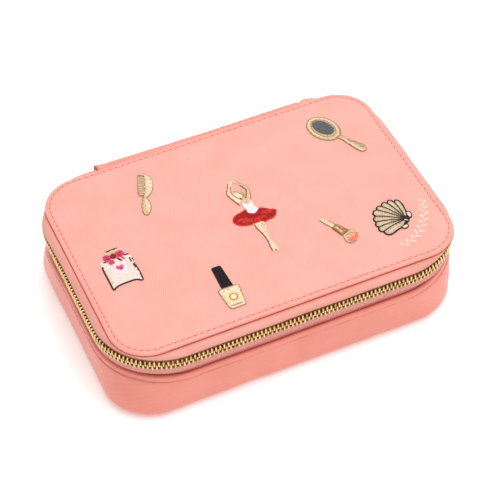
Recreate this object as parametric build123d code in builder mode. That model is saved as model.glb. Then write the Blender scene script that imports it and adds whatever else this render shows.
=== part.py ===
"""Zip-round travel jewellery case with an embroidered ballerina lid.

Millimetres, +Z up, +X along the long side, the front long side faces -Y and the hinge is at +Y.
Z = 0 is the plane the case stands on; X = Y = 0 lies under the centre of the lid panel.
"""
import math
import os

from build123d import *

os.makedirs("parts", exist_ok=True)

# ---------------------------------------------------------------- driving dimensions
LID_L = 206.0          # lid panel seam line, left to right
LID_W = 144.0          # lid panel seam line, front to back
LID_R = 22.5           # corner radius of the lid panel seam line
TOP_Z = 51.5           # top surface of the lid panel
PANEL_T = 2.2          # turned-edge lid panel
SEAM_Z = TOP_Z - PANEL_T
ZIP_Z = 43.0           # line where the two rows of teeth meet
ZIP_L = 203.6          # seam line that the zip and the base follow; shorter than the lid panel's
ZIP_X = -1.2           # the soft lid overhangs the zip on the right
ARC_Y = 37.0           # centre of the zip's corner arcs
ARC_R0 = 35.0          # radius of a corner arc whose side stands on the seam line
ARC_X = ZIP_L / 2 - ARC_R0
TOOTH_IN = 3.4         # teeth, measured outward from the lid seam line
TOOTH_OUT = 6.2
TOOTH_PITCH = 2.45
TOOTH_W = 1.1
TOOTH_H = 3.6
RIM_Z = 31.5           # top of the base wall
RIM_G = 6.2
RIM_R = 45.0
FOOT_L = 211.4         # base outline at the floor
FOOT_W = 152.8
FOOT_R = 28.0
FOOT_X = -4.2          # the right wall leans in towards the floor
FOOT_FILLET = 8.0
CAV_L = 200.2          # hollow inside the base wall
CAV_W = 142.4
CAV_R = 38.0
CAV_X = -2.1
COLLAR_Z = 24.0        # from here up the wall is thinner and holds the gusset
COLLAR_G = 1.8
COLLAR_R = 40.6
GLUE_T = 1.4           # gusset thickness where it is glued in
FLOOR_T = 3.5
LINING_T = 1.8
LINING_TOP = 37.5
LINING_FLOOR = FLOOR_T + 1.2
SPINE_LEFT = -63.5     # ends of the leather hinge spine
SPINE_RIGHT = 66.0
SPINE_T = 1.5
DIVIDER_T = 2.0
DIVIDER_TOP = 30.0
SLIDER_ANGLE = 12.0    # where the closed slider stands on the rear right corner arc
SLIDER_HALF = 5.0      # half length of the slider
PATCH_T = 0.7          # height of the embroidery above the leather
START_GAP = 2.6        # arc length free of teeth beside the rear left stop
PULL_G = 9.6           # pull pivot, measured outward from the lid seam line


def grown(g):
    """Size of a rounded rectangle that stands g outside the lid panel's seam line."""
    return LID_L + 2 * g, LID_W + 2 * g


def ringed(g):
    """Size of a rounded rectangle that stands g outside the seam line of the zip and base."""
    return ZIP_L + 2 * g, LID_W + 2 * g


def level(z):
    """Plane at height z, centred on the zip."""
    return Plane((ZIP_X, 0, z))


def zip_point(g, s):
    """Point and outward angle at arc length s along the chain, from its rear left end."""
    r = ARC_R0 + g
    quarter = r * math.pi / 2
    runs = [
        ("arc", quarter, (-ARC_X, ARC_Y), 90.0),
        ("line", 2 * ARC_Y, (-ARC_X - r, ARC_Y), 180.0),
        ("arc", quarter, (-ARC_X, -ARC_Y), 180.0),
        ("line", 2 * ARC_X, (-ARC_X, -ARC_Y - r), 270.0),
        ("arc", quarter, (ARC_X, -ARC_Y), 270.0),
        ("line", 2 * ARC_Y, (ARC_X + r, -ARC_Y), 0.0),
        ("arc", quarter, (ARC_X, ARC_Y), 0.0),
    ]
    for kind, length, start, ang in runs:
        if s <= length:
            if kind == "arc":
                a = ang + math.degrees(s / r)
                rad = math.radians(a)
                return ZIP_X + start[0] + r * math.cos(rad), start[1] + r * math.sin(rad), a
            travel = math.radians(ang + 90.0)
            return ZIP_X + start[0] + s * math.cos(travel), start[1] + s * math.sin(travel), ang
        s -= length
    return None


MID_G = (TOOTH_IN + TOOTH_OUT) / 2
MID_R = ARC_R0 + MID_G
CHAIN_LEN = 4 * MID_R * math.pi / 2 + 4 * ARC_Y + 2 * ARC_X
CORNER_LEN = MID_R * math.pi / 2
END_GAP = MID_R * math.radians(SLIDER_ANGLE - 4.2)


def tooth_places(start, stop, shift, z):
    """Locations of teeth whose arc length lies between start and stop."""
    places = []
    n = 0
    while True:
        s = START_GAP + shift + n * TOOTH_PITCH
        n += 1
        if s > CHAIN_LEN - END_GAP:
            return places
        if start <= s < stop:
            x, y, a = zip_point(MID_G, s)
            places.append(Location((x, y, z), (0, 0, a)))


# ---------------------------------------------------------------- base
with BuildPart() as base_shell:
    with BuildSketch(Plane((FOOT_X, 0, 0))):
        RectangleRounded(FOOT_L, FOOT_W, FOOT_R)
    with BuildSketch(Plane((FOOT_X, 0, 12.0))):
        RectangleRounded(FOOT_L + 1.0, FOOT_W + 1.0, FOOT_R + 4.0)
    with BuildSketch(level(RIM_Z)):
        RectangleRounded(*ringed(RIM_G), RIM_R)
    loft(ruled=True)
    fillet(base_shell.edges().filter_by_position(Axis.Z, -0.01, 0.01), FOOT_FILLET)
    fillet(base_shell.edges().filter_by_position(Axis.Z, RIM_Z - 0.01, RIM_Z + 0.01), 1.2)
    with BuildSketch(Plane((CAV_X, 0, FLOOR_T))):
        RectangleRounded(CAV_L, CAV_W, CAV_R)
    extrude(amount=RIM_Z, mode=Mode.SUBTRACT)
    with BuildSketch(level(COLLAR_Z)):
        RectangleRounded(*ringed(COLLAR_G + GLUE_T), COLLAR_R + GLUE_T)
    extrude(amount=RIM_Z, mode=Mode.SUBTRACT)

GUSSET_TOP = 38.5
GUSSET_TOP_G = 4.6
with BuildPart() as base_gusset:
    with BuildSketch(level(COLLAR_Z)):
        RectangleRounded(*ringed(COLLAR_G + GLUE_T), COLLAR_R + GLUE_T)
    extrude(amount=RIM_Z - COLLAR_Z)
    with BuildSketch(level(RIM_Z)):
        RectangleRounded(*ringed(COLLAR_G + GLUE_T), COLLAR_R + GLUE_T)
    with BuildSketch(level(GUSSET_TOP)):
        RectangleRounded(*ringed(GUSSET_TOP_G), ARC_R0 + GUSSET_TOP_G)
    loft()
    with BuildSketch(level(COLLAR_Z)):
        RectangleRounded(*ringed(COLLAR_G), COLLAR_R)
    extrude(amount=RIM_Z - COLLAR_Z, mode=Mode.SUBTRACT)
    with BuildSketch(level(RIM_Z)):
        RectangleRounded(*ringed(COLLAR_G), COLLAR_R)
    with BuildSketch(level(GUSSET_TOP)):
        RectangleRounded(*ringed(GUSSET_TOP_G - 1.3), ARC_R0 + GUSSET_TOP_G - 1.3)
    loft(mode=Mode.SUBTRACT)

with BuildPart() as zip_tape_lower:
    with BuildSketch(level(36.0)):
        RectangleRounded(*ringed(5.4), ARC_R0 + 5.4)
        RectangleRounded(*ringed(4.65), ARC_R0 + 4.65, mode=Mode.SUBTRACT)
    extrude(amount=ZIP_Z - 3.0 - 36.0)
    with Locations((0, 80, 38)):
        Box(2 * SPINE_RIGHT + 4, 20, 20, mode=Mode.SUBTRACT)

LOW_Z = ZIP_Z - 3.0 + TOOTH_H / 2
HIGH_Z = ZIP_Z + 3.0 - TOOTH_H / 2
HALF_PITCH = TOOTH_PITCH / 2

with BuildPart() as zip_teeth_lower:
    with Locations(*tooth_places(0, CHAIN_LEN - CORNER_LEN, 0.0, LOW_Z)):
        Box(TOOTH_OUT - TOOTH_IN, TOOTH_W, TOOTH_H)

with BuildPart() as zip_teeth_corner_lower:
    with Locations(*tooth_places(CHAIN_LEN - CORNER_LEN, CHAIN_LEN, 0.0, LOW_Z)):
        Box(TOOTH_OUT - TOOTH_IN, TOOTH_W, TOOTH_H)

# metal stop that closes the chain at the rear left end
with BuildPart() as zip_stop:
    stop_x, stop_y, stop_a = zip_point(MID_G, 0.9)
    with Locations(Location((stop_x, stop_y, ZIP_Z - 0.2), (0, 0, stop_a))):
        Box(TOOTH_OUT - TOOTH_IN, 1.2, 5.6)

INNER_L = CAV_L - 2 * LINING_T
INNER_W = CAV_W - 2 * LINING_T
INNER_R = CAV_R - LINING_T
with BuildPart() as base_lining:
    with BuildSketch(Plane((CAV_X, 0, FLOOR_T))):
        RectangleRounded(CAV_L, CAV_W, CAV_R)
    extrude(amount=COLLAR_Z - FLOOR_T)
    with BuildSketch(level(COLLAR_Z)):
        RectangleRounded(*ringed(COLLAR_G), COLLAR_R)
    extrude(amount=LINING_TOP - COLLAR_Z)
    fillet(base_lining.edges().filter_by_position(Axis.Z, LINING_TOP - 0.01, LINING_TOP + 0.01), 1.0)
    with BuildSketch(Plane((CAV_X, 0, LINING_FLOOR))):
        RectangleRounded(INNER_L, INNER_W, INNER_R)
    extrude(amount=LINING_TOP, mode=Mode.SUBTRACT)

INNER_X = CAV_X + INNER_L / 2
DIVIDER_MID = (LINING_FLOOR + DIVIDER_TOP) / 2
DIVIDER_H = DIVIDER_TOP - LINING_FLOOR
LEFT_X = -36.0
RIGHT_X = 31.0


def top_edges(part):
    """Edges of a divider's upper face."""
    return part.edges().filter_by_position(Axis.Z, DIVIDER_TOP - 0.01, DIVIDER_TOP + 0.01)


with BuildPart() as divider_left:
    with Locations((LEFT_X, 0, DIVIDER_MID)):
        Box(DIVIDER_T, INNER_W, DIVIDER_H)
    fillet(top_edges(divider_left), 0.8)

with BuildPart() as divider_right:
    with Locations((RIGHT_X, 0, DIVIDER_MID)):
        Box(DIVIDER_T, INNER_W, DIVIDER_H)
    fillet(top_edges(divider_right), 0.8)

CROSS_X = RIGHT_X + DIVIDER_T / 2
with BuildPart() as divider_cross:
    with Locations(((CROSS_X + INNER_X) / 2, 0, DIVIDER_MID)):
        Box(INNER_X - CROSS_X, DIVIDER_T, DIVIDER_H)
    fillet(top_edges(divider_cross), 0.8)

# padded rolls that hold rings in the slots between them
ROLL_R = 7.6
ROLL_X = (-80.0, -64.0, -48.0)
with BuildPart() as roll_bed:
    with Locations((-64, 0, LINING_FLOOR + 2.0)):
        Box(48, 112, 4.0)

with BuildPart() as ring_rolls:
    for roll_x in ROLL_X:
        with Locations(Location((roll_x, 0, LINING_FLOOR + 4.0 + ROLL_R - 0.2), (90, 0, 0))):
            Cylinder(ROLL_R, 110)
    fillet(ring_rolls.edges().filter_by(GeomType.CIRCLE), 2.5)
    with Locations((-64, 0, LINING_FLOOR + 2.0)):
        Box(60, 120, 4.0, mode=Mode.SUBTRACT)

# leather spine: a hollow fold sewn to the base wall and tucked under the lid panel's rear edge
FOLD_Y = LID_W / 2 + 3.8
FOLD_Z = 44.4
FOLD_R = 6.4
WALL_Y = LID_W / 2 + RIM_G + 0.1
PANEL_Y = LID_W / 2 + 0.45
SPINE_FOOT = 22.0
with BuildPart() as hinge_spine:
    with BuildSketch(Plane.YZ.offset(SPINE_LEFT)):
        with BuildLine():
            Line((PANEL_Y, FOLD_Z + FOLD_R), (FOLD_Y, FOLD_Z + FOLD_R))
            JernArc((FOLD_Y, FOLD_Z + FOLD_R), (1, 0), FOLD_R, -90)
            Polyline((FOLD_Y + FOLD_R, FOLD_Z), (WALL_Y + SPINE_T, RIM_Z), (WALL_Y + SPINE_T, SPINE_FOOT))
            Line((WALL_Y + SPINE_T, SPINE_FOOT), (WALL_Y, SPINE_FOOT))
            Polyline((WALL_Y, SPINE_FOOT), (WALL_Y, RIM_Z), (FOLD_Y + FOLD_R - SPINE_T, FOLD_Z))
            JernArc((FOLD_Y + FOLD_R - SPINE_T, FOLD_Z), (0, 1), FOLD_R - SPINE_T, 90)
            Line((FOLD_Y, FOLD_Z + FOLD_R - SPINE_T), (PANEL_Y, FOLD_Z + FOLD_R - SPINE_T))
            Line((PANEL_Y, FOLD_Z + FOLD_R - SPINE_T), (PANEL_Y, FOLD_Z + FOLD_R))
        make_face()
    extrude(amount=SPINE_RIGHT - SPINE_LEFT)

# ---------------------------------------------------------------- lid
with BuildPart() as lid_panel:
    with BuildSketch(Plane.XY.offset(SEAM_Z)):
        RectangleRounded(*grown(0.4), LID_R + 0.4)
    extrude(amount=PANEL_T)
    fillet(lid_panel.edges().filter_by_position(Axis.Z, TOP_Z - 0.01, TOP_Z + 0.01), 1.1)
    fillet(lid_panel.edges().filter_by_position(Axis.Z, SEAM_Z - 0.01, SEAM_Z + 0.01), 0.5)

GUSSET_Z = 46.8
with BuildPart() as lid_gusset:
    with BuildSketch(level(GUSSET_Z)):
        RectangleRounded(*ringed(5.6), ARC_R0 + 5.6)
    with BuildSketch(Plane((ZIP_X / 2, 0, 48.3))):
        RectangleRounded(LID_L + ZIP_X + 2 * 4.4, LID_W + 2 * 4.4, 36.0)
    with BuildSketch(Plane.XY.offset(SEAM_Z)):
        RectangleRounded(*grown(-0.6), LID_R - 0.6)
    loft(ruled=True)
    with BuildSketch(level(GUSSET_Z)):
        RectangleRounded(*ringed(4.0), ARC_R0 + 4.0)
    with BuildSketch(Plane.XY.offset(48.0)):
        RectangleRounded(*grown(-1.6), 26.0)
    loft(ruled=True, mode=Mode.SUBTRACT)
    with BuildSketch(Plane.XY.offset(GUSSET_Z)):
        RectangleRounded(*grown(-6.0), 18.0)
    extrude(amount=10.0, mode=Mode.SUBTRACT)

with BuildPart() as lid_board:
    with BuildSketch(Plane.XY.offset(47.4)):
        RectangleRounded(*grown(-6.0), 18.0)
    extrude(amount=SEAM_Z - 47.4)

with BuildPart() as lid_lining:
    with BuildSketch(Plane.XY.offset(46.2)):
        RectangleRounded(*grown(-5.0), 19.0)
    extrude(amount=1.2)

MIRROR_L = 112.0
MIRROR_W = 74.0
with BuildPart() as lid_mirror:
    with BuildSketch(Plane.XY.offset(44.9)):
        RectangleRounded(MIRROR_L, MIRROR_W, 6.0)
    extrude(amount=1.3)

with BuildPart() as mirror_frame:
    with BuildSketch(Plane.XY.offset(44.5)):
        RectangleRounded(MIRROR_L + 10, MIRROR_W + 10, 11.0)
        RectangleRounded(MIRROR_L, MIRROR_W, 6.0, mode=Mode.SUBTRACT)
    extrude(amount=1.7)

with BuildPart() as zip_tape_upper:
    with BuildSketch(level(ZIP_Z + 3.0)):
        RectangleRounded(*ringed(5.4), ARC_R0 + 5.4)
        RectangleRounded(*ringed(4.4), ARC_R0 + 4.4, mode=Mode.SUBTRACT)
    extrude(amount=GUSSET_Z - ZIP_Z - 3.0)
    with Locations((0, 80, 46)):
        Box(2 * SPINE_RIGHT + 4, 20, 20, mode=Mode.SUBTRACT)

REAR_LEN = MID_R * math.radians(SLIDER_ANGLE + 8.2)
with BuildPart() as zip_teeth_upper:
    with Locations(*tooth_places(0, CHAIN_LEN - CORNER_LEN, HALF_PITCH, HIGH_Z)):
        Box(TOOTH_OUT - TOOTH_IN, TOOTH_W, TOOTH_H)

with BuildPart() as zip_teeth_corner_upper:
    with Locations(*tooth_places(CHAIN_LEN - CORNER_LEN, CHAIN_LEN - REAR_LEN, HALF_PITCH, HIGH_Z)):
        Box(TOOTH_OUT - TOOTH_IN, TOOTH_W, TOOTH_H)

with BuildPart() as zip_teeth_slider_upper:
    with Locations(*tooth_places(CHAIN_LEN - REAR_LEN, CHAIN_LEN, HALF_PITCH, HIGH_Z)):
        Box(TOOTH_OUT - TOOTH_IN, TOOTH_W, TOOTH_H)

# ---------------------------------------------------------------- embroidery on the lid
with BuildPart() as patch_comb:
    with BuildSketch(Plane.XY.offset(TOP_Z)):
        with BuildLine():
            Spline((-40.6, 57.6), (-38.3, 51.0), (-41.0, 43.2), (-46.6, 38.4))
            Polyline((-46.6, 38.4), (-50.2, 41.6), (-45.0, 57.6), (-40.6, 57.6))
        make_face()
        with Locations(Location((-49.2, 32.6), 73)):
            Ellipse(7.5, 3.1)
    extrude(amount=PATCH_T)

with BuildPart() as patch_perfume:
    with BuildSketch(Plane.XY.offset(TOP_Z)):
        with BuildLine():
            Polyline((-89.3, 1.6), (-86.6, 3.6), (-73.6, 3.6), (-70.8, 1.6), (-70.8, -20.6))
            ThreePointArc((-70.8, -20.6), (-80.0, -18.9), (-89.3, -20.6))
            Line((-89.3, -20.6), (-89.3, 1.6))
        make_face()
        with Locations((-79.8, 6.0)):
            Rectangle(9.6, 6.0)
    extrude(amount=PATCH_T)

with BuildPart() as patch_bow:
    with BuildSketch(Plane.XY.offset(TOP_Z + PATCH_T)):
        with Locations(Location((-84.6, 1.0), 24)):
            Ellipse(4.4, 2.6)
        with Locations(Location((-75.6, 1.8), -14)):
            Ellipse(4.4, 2.6)
        with Locations((-80.2, 1.2)):
            Circle(1.9)
    extrude(amount=0.5)

with BuildPart() as patch_varnish_bottle:
    with BuildSketch(Plane.XY.offset(TOP_Z)):
        with BuildLine():
            Polyline((-37.8, -46.6), (-25.4, -46.6), (-27.0, -61.8), (-36.3, -61.8), (-37.8, -46.6))
        make_face()
    extrude(amount=PATCH_T)

with BuildPart() as patch_varnish_cap:
    with BuildSketch(Plane.XY.offset(TOP_Z)):
        with BuildLine():
            Polyline((-34.2, -28.6), (-29.2, -28.6), (-28.6, -46.5), (-34.7, -46.5), (-34.2, -28.6))
        make_face()
    extrude(amount=PATCH_T)

with BuildPart() as patch_mirror:
    with BuildSketch(Plane.XY.offset(TOP_Z)):
        with Locations(Location((69.8, 45.8), -66)):
            Ellipse(12.0, 8.7)
        with BuildLine():
            Polyline((73.4, 37.4), (77.4, 37.4), (85.8, 22.8), (84.8, 18.6), (82.2, 17.8), (80.0, 20.4))
            Line((80.0, 20.4), (73.4, 37.4))
        make_face()
    extrude(amount=PATCH_T)

with BuildPart() as patch_brush:
    with BuildSketch(Plane.XY.offset(TOP_Z)):
        with BuildLine():
            Polyline((35.0, -21.0), (38.0, -19.6), (47.0, -35.8), (41.8, -38.2), (35.0, -21.0))
        make_face()
        with Locations(Location((46.8, -40.2), 25)):
            Ellipse(5.4, 4.7)
    extrude(amount=PATCH_T)

with BuildPart() as patch_shell:
    with BuildSketch(Plane.XY.offset(TOP_Z)):
        with BuildLine():
            Polyline((81.5, -43.0), (84.0, -26.4), (77.4, -23.4), (72.4, -23.8), (67.8, -26.0))
            Polyline((67.8, -26.0), (64.2, -28.8), (62.0, -33.0), (61.2, -37.6), (61.4, -42.6))
            Polyline((61.4, -42.6), (63.6, -47.8), (81.5, -43.0))
        make_face()
        with Locations((81.0, -42.6)):
            Circle(4.2)
    extrude(amount=PATCH_T)

with BuildPart() as patch_dancer_tutu:
    with BuildSketch(Plane.XY.offset(TOP_Z)):
        with Locations(Location((3.9, -2.4), -8)):
            Ellipse(13.0, 6.2)
    extrude(amount=PATCH_T + 0.3)

with BuildPart() as patch_dancer_body:
    with BuildSketch(Plane.XY.offset(TOP_Z)):
        # bodice
        with BuildLine():
            Polyline((0.4, 11.6), (7.2, 11.6), (7.6, 2.4), (0.8, 2.4), (0.4, 11.6))
        make_face()
        # raised arms that meet above the head
        with BuildLine():
            Polyline((-0.6, 9.6), (-3.8, 20.4), (0.8, 29.4), (4.2, 28.8), (-1.0, 20.6), (2.4, 11.2))
            Line((2.4, 11.2), (-0.6, 9.6))
        make_face()
        with BuildLine():
            Polyline((4.8, 11.0), (7.6, 19.2), (3.0, 27.2), (3.2, 28.6), (5.4, 28.4), (9.8, 19.2))
            Polyline((9.8, 19.2), (7.2, 9.8), (4.8, 11.0))
        make_face()
        with Locations((2.9, 17.6)):
            Ellipse(3.0, 3.8)
        with Locations((3.7, 13.0)):
            Rectangle(2.8, 4.0)
        # legs
        with BuildLine():
            Polyline((0.6, -6.0), (7.0, -6.4), (4.9, -20.0), (6.0, -32.4), (2.0, -32.4), (2.4, -21.0))
            Line((2.4, -21.0), (0.6, -6.0))
        make_face()
        with Locations(Location((3.9, -2.4), -8)):
            Ellipse(13.0, 6.2, mode=Mode.SUBTRACT)
    extrude(amount=PATCH_T)

# plain foil sprig along the right front corner
SPRIG = (
    (68.6, -59.0), (74.6, -57.6), (80.4, -54.6), (85.6, -50.2), (89.8, -44.8), (92.8, -38.8), (94.6, -32.6),
)
with BuildPart() as foil_sprig:
    with BuildSketch(Plane.XY.offset(TOP_Z)):
        for i, (leaf_x, leaf_y) in enumerate(SPRIG):
            with Locations(Location((leaf_x, leaf_y), 14 * i + 10)):
                Ellipse(3.0, 0.9)
    extrude(amount=0.2)

# ---------------------------------------------------------------- slider and pull
SLIDER_A = math.radians(SLIDER_ANGLE)
TRAVEL_DIR = (math.cos(SLIDER_A), -math.sin(SLIDER_A), 0)
slider_plane = Plane(origin=(ZIP_X + ARC_X, ARC_Y, ZIP_Z), x_dir=TRAVEL_DIR, z_dir=(0, 0, 1))
PLATE_IN = (ARC_R0 + 1.9, ARC_R0 + 3.1)
PLATE_OUT = (ARC_R0 + 6.5, ARC_R0 + 7.9)
PULL_R = ARC_R0 + PULL_G
BAR_R = 0.8

with BuildPart() as zip_slider:
    # inner and outer plates follow the bend of the chain
    for r_in, r_out in (PLATE_IN, PLATE_OUT):
        with BuildSketch(slider_plane.offset(-3.4)):
            Circle(r_out)
            Circle(r_in, mode=Mode.SUBTRACT)
            with Locations((0, r_out)):
                Rectangle(2 * SLIDER_HALF, 8, mode=Mode.INTERSECT)
        extrude(amount=6.8)
    # post that parts the two rows, at the closed end
    with BuildSketch(slider_plane.offset(-2.6)):
        with Locations((-SLIDER_HALF + 0.9, (PLATE_IN[1] + PLATE_OUT[0]) / 2 - 0.15)):
            Rectangle(1.6, PLATE_OUT[0] - PLATE_IN[1] + 0.8)
    extrude(amount=5.2)
    # bail: two ears and the bar the pull hangs on
    with BuildSketch(slider_plane.offset(-1.3)):
        with Locations((-2.9, (PLATE_OUT[1] + PULL_R) / 2), (2.9, (PLATE_OUT[1] + PULL_R) / 2)):
            Rectangle(0.9, PULL_R - PLATE_OUT[1] + 1.6)
    extrude(amount=2.6)
    with Locations(slider_plane):
        with Locations(Location((0, PULL_R, 0), (0, 90, 0))):
            Cylinder(BAR_R, 6.2)

with BuildPart() as zip_pull:
    with Locations(slider_plane):
        with Locations(Location((0, PULL_R, 0), (0, 90, 0))):
            Cylinder(1.6, 4.4)
        with Locations((0, PULL_R, -7.0)):
            Box(3.4, 1.2, 12.0)
        with Locations((0, PULL_R, -17.0)):
            Box(7.0, 1.2, 10.0)
        with Locations(Location((0, PULL_R, -20.0), (90, 0, 0))):
            Cylinder(1.3, 3.0, mode=Mode.SUBTRACT)
        with Locations(Location((0, PULL_R, 0), (0, 90, 0))):
            Cylinder(BAR_R + 0.07, 8.0, mode=Mode.SUBTRACT)

# ---------------------------------------------------------------- labels and export
NODES = {
    "base_shell": base_shell,
    "base_gusset": base_gusset,
    "zip_tape_lower": zip_tape_lower,
    "zip_teeth_lower": zip_teeth_lower,
    "zip_teeth_corner_lower": zip_teeth_corner_lower,
    "zip_stop": zip_stop,
    "base_lining": base_lining,
    "divider_left": divider_left,
    "divider_right": divider_right,
    "divider_cross": divider_cross,
    "roll_bed": roll_bed,
    "ring_rolls": ring_rolls,
    "hinge_spine": hinge_spine,
    "lid_panel": lid_panel,
    "lid_gusset": lid_gusset,
    "lid_board": lid_board,
    "lid_lining": lid_lining,
    "lid_mirror": lid_mirror,
    "mirror_frame": mirror_frame,
    "zip_tape_upper": zip_tape_upper,
    "zip_teeth_upper": zip_teeth_upper,
    "zip_teeth_corner_upper": zip_teeth_corner_upper,
    "zip_teeth_slider_upper": zip_teeth_slider_upper,
    "patch_comb": patch_comb,
    "patch_perfume": patch_perfume,
    "patch_bow": patch_bow,
    "patch_varnish_bottle": patch_varnish_bottle,
    "patch_varnish_cap": patch_varnish_cap,
    "patch_mirror": patch_mirror,
    "patch_brush": patch_brush,
    "patch_shell": patch_shell,
    "patch_dancer_tutu": patch_dancer_tutu,
    "patch_dancer_body": patch_dancer_body,
    "foil_sprig": foil_sprig,
    "zip_slider": zip_slider,
    "zip_pull": zip_pull,
}
for node_name, node in NODES.items():
    node.part.label = node_name
    export_step(node.part, "parts/" + node_name + ".step")
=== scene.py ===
"""Looks of the zip-round travel jewellery case: leather, metal zip, embroidery, velvet inside."""
import math
import random

import bmesh
import bpy
from mathutils import Matrix, Vector, noise


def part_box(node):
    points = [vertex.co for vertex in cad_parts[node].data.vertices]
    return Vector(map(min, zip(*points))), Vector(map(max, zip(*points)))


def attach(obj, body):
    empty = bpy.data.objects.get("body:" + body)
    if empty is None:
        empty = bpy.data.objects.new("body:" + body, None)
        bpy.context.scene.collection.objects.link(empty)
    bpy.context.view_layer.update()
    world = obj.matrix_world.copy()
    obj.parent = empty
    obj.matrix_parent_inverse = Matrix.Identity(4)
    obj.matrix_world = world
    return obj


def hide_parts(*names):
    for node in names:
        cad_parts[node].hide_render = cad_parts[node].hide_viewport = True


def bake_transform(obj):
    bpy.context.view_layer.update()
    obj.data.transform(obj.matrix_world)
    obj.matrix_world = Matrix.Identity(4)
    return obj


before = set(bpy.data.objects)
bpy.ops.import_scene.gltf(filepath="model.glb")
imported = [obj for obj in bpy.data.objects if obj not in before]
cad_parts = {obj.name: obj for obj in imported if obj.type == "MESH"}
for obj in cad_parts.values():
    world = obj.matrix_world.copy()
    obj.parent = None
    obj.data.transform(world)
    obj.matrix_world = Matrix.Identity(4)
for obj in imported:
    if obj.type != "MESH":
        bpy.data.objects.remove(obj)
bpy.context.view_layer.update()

MM = 0.001
random.seed(7)

# ---------------------------------------------------------------- sizes, in millimetres, from the frame


def node_box(name):
    """Lowest and highest corner of a CAD node in millimetres."""
    low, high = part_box(name)
    return [v / MM for v in low], [v / MM for v in high]


PANEL_LOW, PANEL_HIGH = node_box("lid_panel")
TOP_Z = PANEL_HIGH[2]
SEAM_Z = PANEL_LOW[2]
PANEL_LIP = 0.4                         # the panel's edge stands this far outside its seam line
HALF_L = PANEL_HIGH[0] - PANEL_LIP      # seam line of the lid panel
HALF_W = PANEL_HIGH[1] - PANEL_LIP
PANEL_R = 22.5
TEETH_LOW, TEETH_HIGH = node_box("zip_teeth_upper")
LOWER_LOW, LOWER_HIGH = node_box("zip_teeth_lower")
ARC_LEFT = -68.0                        # middles of the zip's corner arcs
ARC_RIGHT = 65.6
ARC_Y = 37.0
ARC_R0 = HALF_W - ARC_Y                 # corner arc that stands on the seam line
TOOTH_OUT = -TEETH_LOW[0] - HALF_L      # outward from the seam line
TOOTH_IN = TOOTH_OUT - 2.8
OVERHANG = ARC_RIGHT + ARC_R0 - HALF_L  # the zip stands this far in under the lid on the right (negative)
ZIP_Z = (TEETH_LOW[2] + LOWER_HIGH[2]) / 2
TOOTH_PITCH = 2.45
START_GAP = 2.6
SLIDER_ANGLE = 12.0                     # from the corner arc's end back to the slider's middle, in degrees
CHAIN_END = 4.2                         # the chain stops this far past the slider's middle, in degrees
REAR_TEETH = 8.2                        # the last teeth start this far before it, in degrees
RIM_Z = node_box("base_shell")[1][2]
RIM_G = 6.2
RIM_R = 45.0
FOOT_LEFT = -2.5                        # the foot's left and right edges, past the lid's seam line
FOOT_RIGHT = -5.9
FOOT_G = 4.4
FOOT_R = 28.0
FOOT_FILLET = 8.0
GUSSET_Z = node_box("lid_gusset")[0][2]
TAPE_LOW, TAPE_HIGH = node_box("zip_tape_lower")
SPINE_LOW, SPINE_HIGH = node_box("hinge_spine")
SPINE_T = 1.4
STITCH_IN = 2.4                         # the lid's stitches stand this far inside its seam line
STITCH_DOWN = 3.2                       # the base's stitches stand this far below the rim
RIM_ROUND = 1.2
TUCK = 6.0                              # the zip tapes run on this far under the spine
MID_R = ARC_R0 + (TOOTH_IN + TOOTH_OUT) / 2

# ---------------------------------------------------------------- mesh helpers


def new_object(name, verts, faces, material, uvs=None, smooth=True, wrap=None):
    """Mesh object from millimetre points; uvs is one pair per point, in millimetres.

    wrap is the length of a closed run, so that its last face does not run back over the whole of it.
    """
    mesh = bpy.data.meshes.new(name)
    mesh.from_pydata([Vector(v) * MM for v in verts], [], faces)
    work = bmesh.new()
    work.from_mesh(mesh)
    bmesh.ops.recalc_face_normals(work, faces=work.faces)
    work.to_mesh(mesh)
    work.free()
    if uvs is not None:
        layer = mesh.uv_layers.new(name="along")
        for face in mesh.polygons:
            pairs = [uvs[mesh.loops[k].vertex_index] for k in face.loop_indices]
            far = max(u for u, _ in pairs)
            for k, (u, v) in zip(face.loop_indices, pairs):
                if wrap and far - u > wrap / 2:
                    u += wrap
                layer.data[k].uv = u, v
    mesh.materials.append(material)
    for face in mesh.polygons:
        face.use_smooth = smooth
    obj = bpy.data.objects.new(name, mesh)
    bpy.context.scene.collection.objects.link(obj)
    return obj


def place(obj, body, slot, *nodes):
    """Ride on a body and hide the CAD nodes that the piece stands for; slot is not used."""
    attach(obj, body)
    if nodes:
        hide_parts(*nodes)
    return obj


def outline(grow, radius, closed=True, left=0.0, right=0.0, arc_n=18, long_n=56, short_n=30):
    """Rounded rectangle that stands grow outside the seam line: (x, y, outward x, outward y).

    It starts at the rear left and runs round the left, front and right sides; a closed one
    ends with the straight of the rear. The left and right sides may be moved along x.
    """
    low_x = left - HALF_L - grow
    high_x = right + HALF_L + grow
    half_w = HALF_W + grow
    cl = low_x + radius
    cr = high_x - radius
    cy = half_w - radius
    points = []

    def arc(x, y, start):
        for i in range(arc_n):
            a = math.radians(start + 90.0 * i / arc_n)
            points.append((x + radius * math.cos(a), y + radius * math.sin(a), math.cos(a), math.sin(a)))

    def line(x0, y0, x1, y1, nx, ny, count):
        for i in range(count):
            t = i / count
            points.append((x0 + (x1 - x0) * t, y0 + (y1 - y0) * t, nx, ny))

    if not closed:
        line(cl + TUCK, half_w, cl, half_w, 0.0, 1.0, 4)
    arc(cl, cy, 90.0)
    line(low_x, cy, low_x, -cy, -1.0, 0.0, short_n)
    arc(cl, -cy, 180.0)
    line(cl, -half_w, cr, -half_w, 0.0, -1.0, long_n)
    arc(cr, -cy, 270.0)
    line(high_x, -cy, high_x, cy, 1.0, 0.0, short_n)
    arc(cr, cy, 0.0)
    if closed:
        line(cr, half_w, cl, half_w, 0.0, 1.0, long_n)
    else:
        line(cr, half_w, cr - TUCK, half_w, 0.0, 1.0, 4)
    return points


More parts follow.
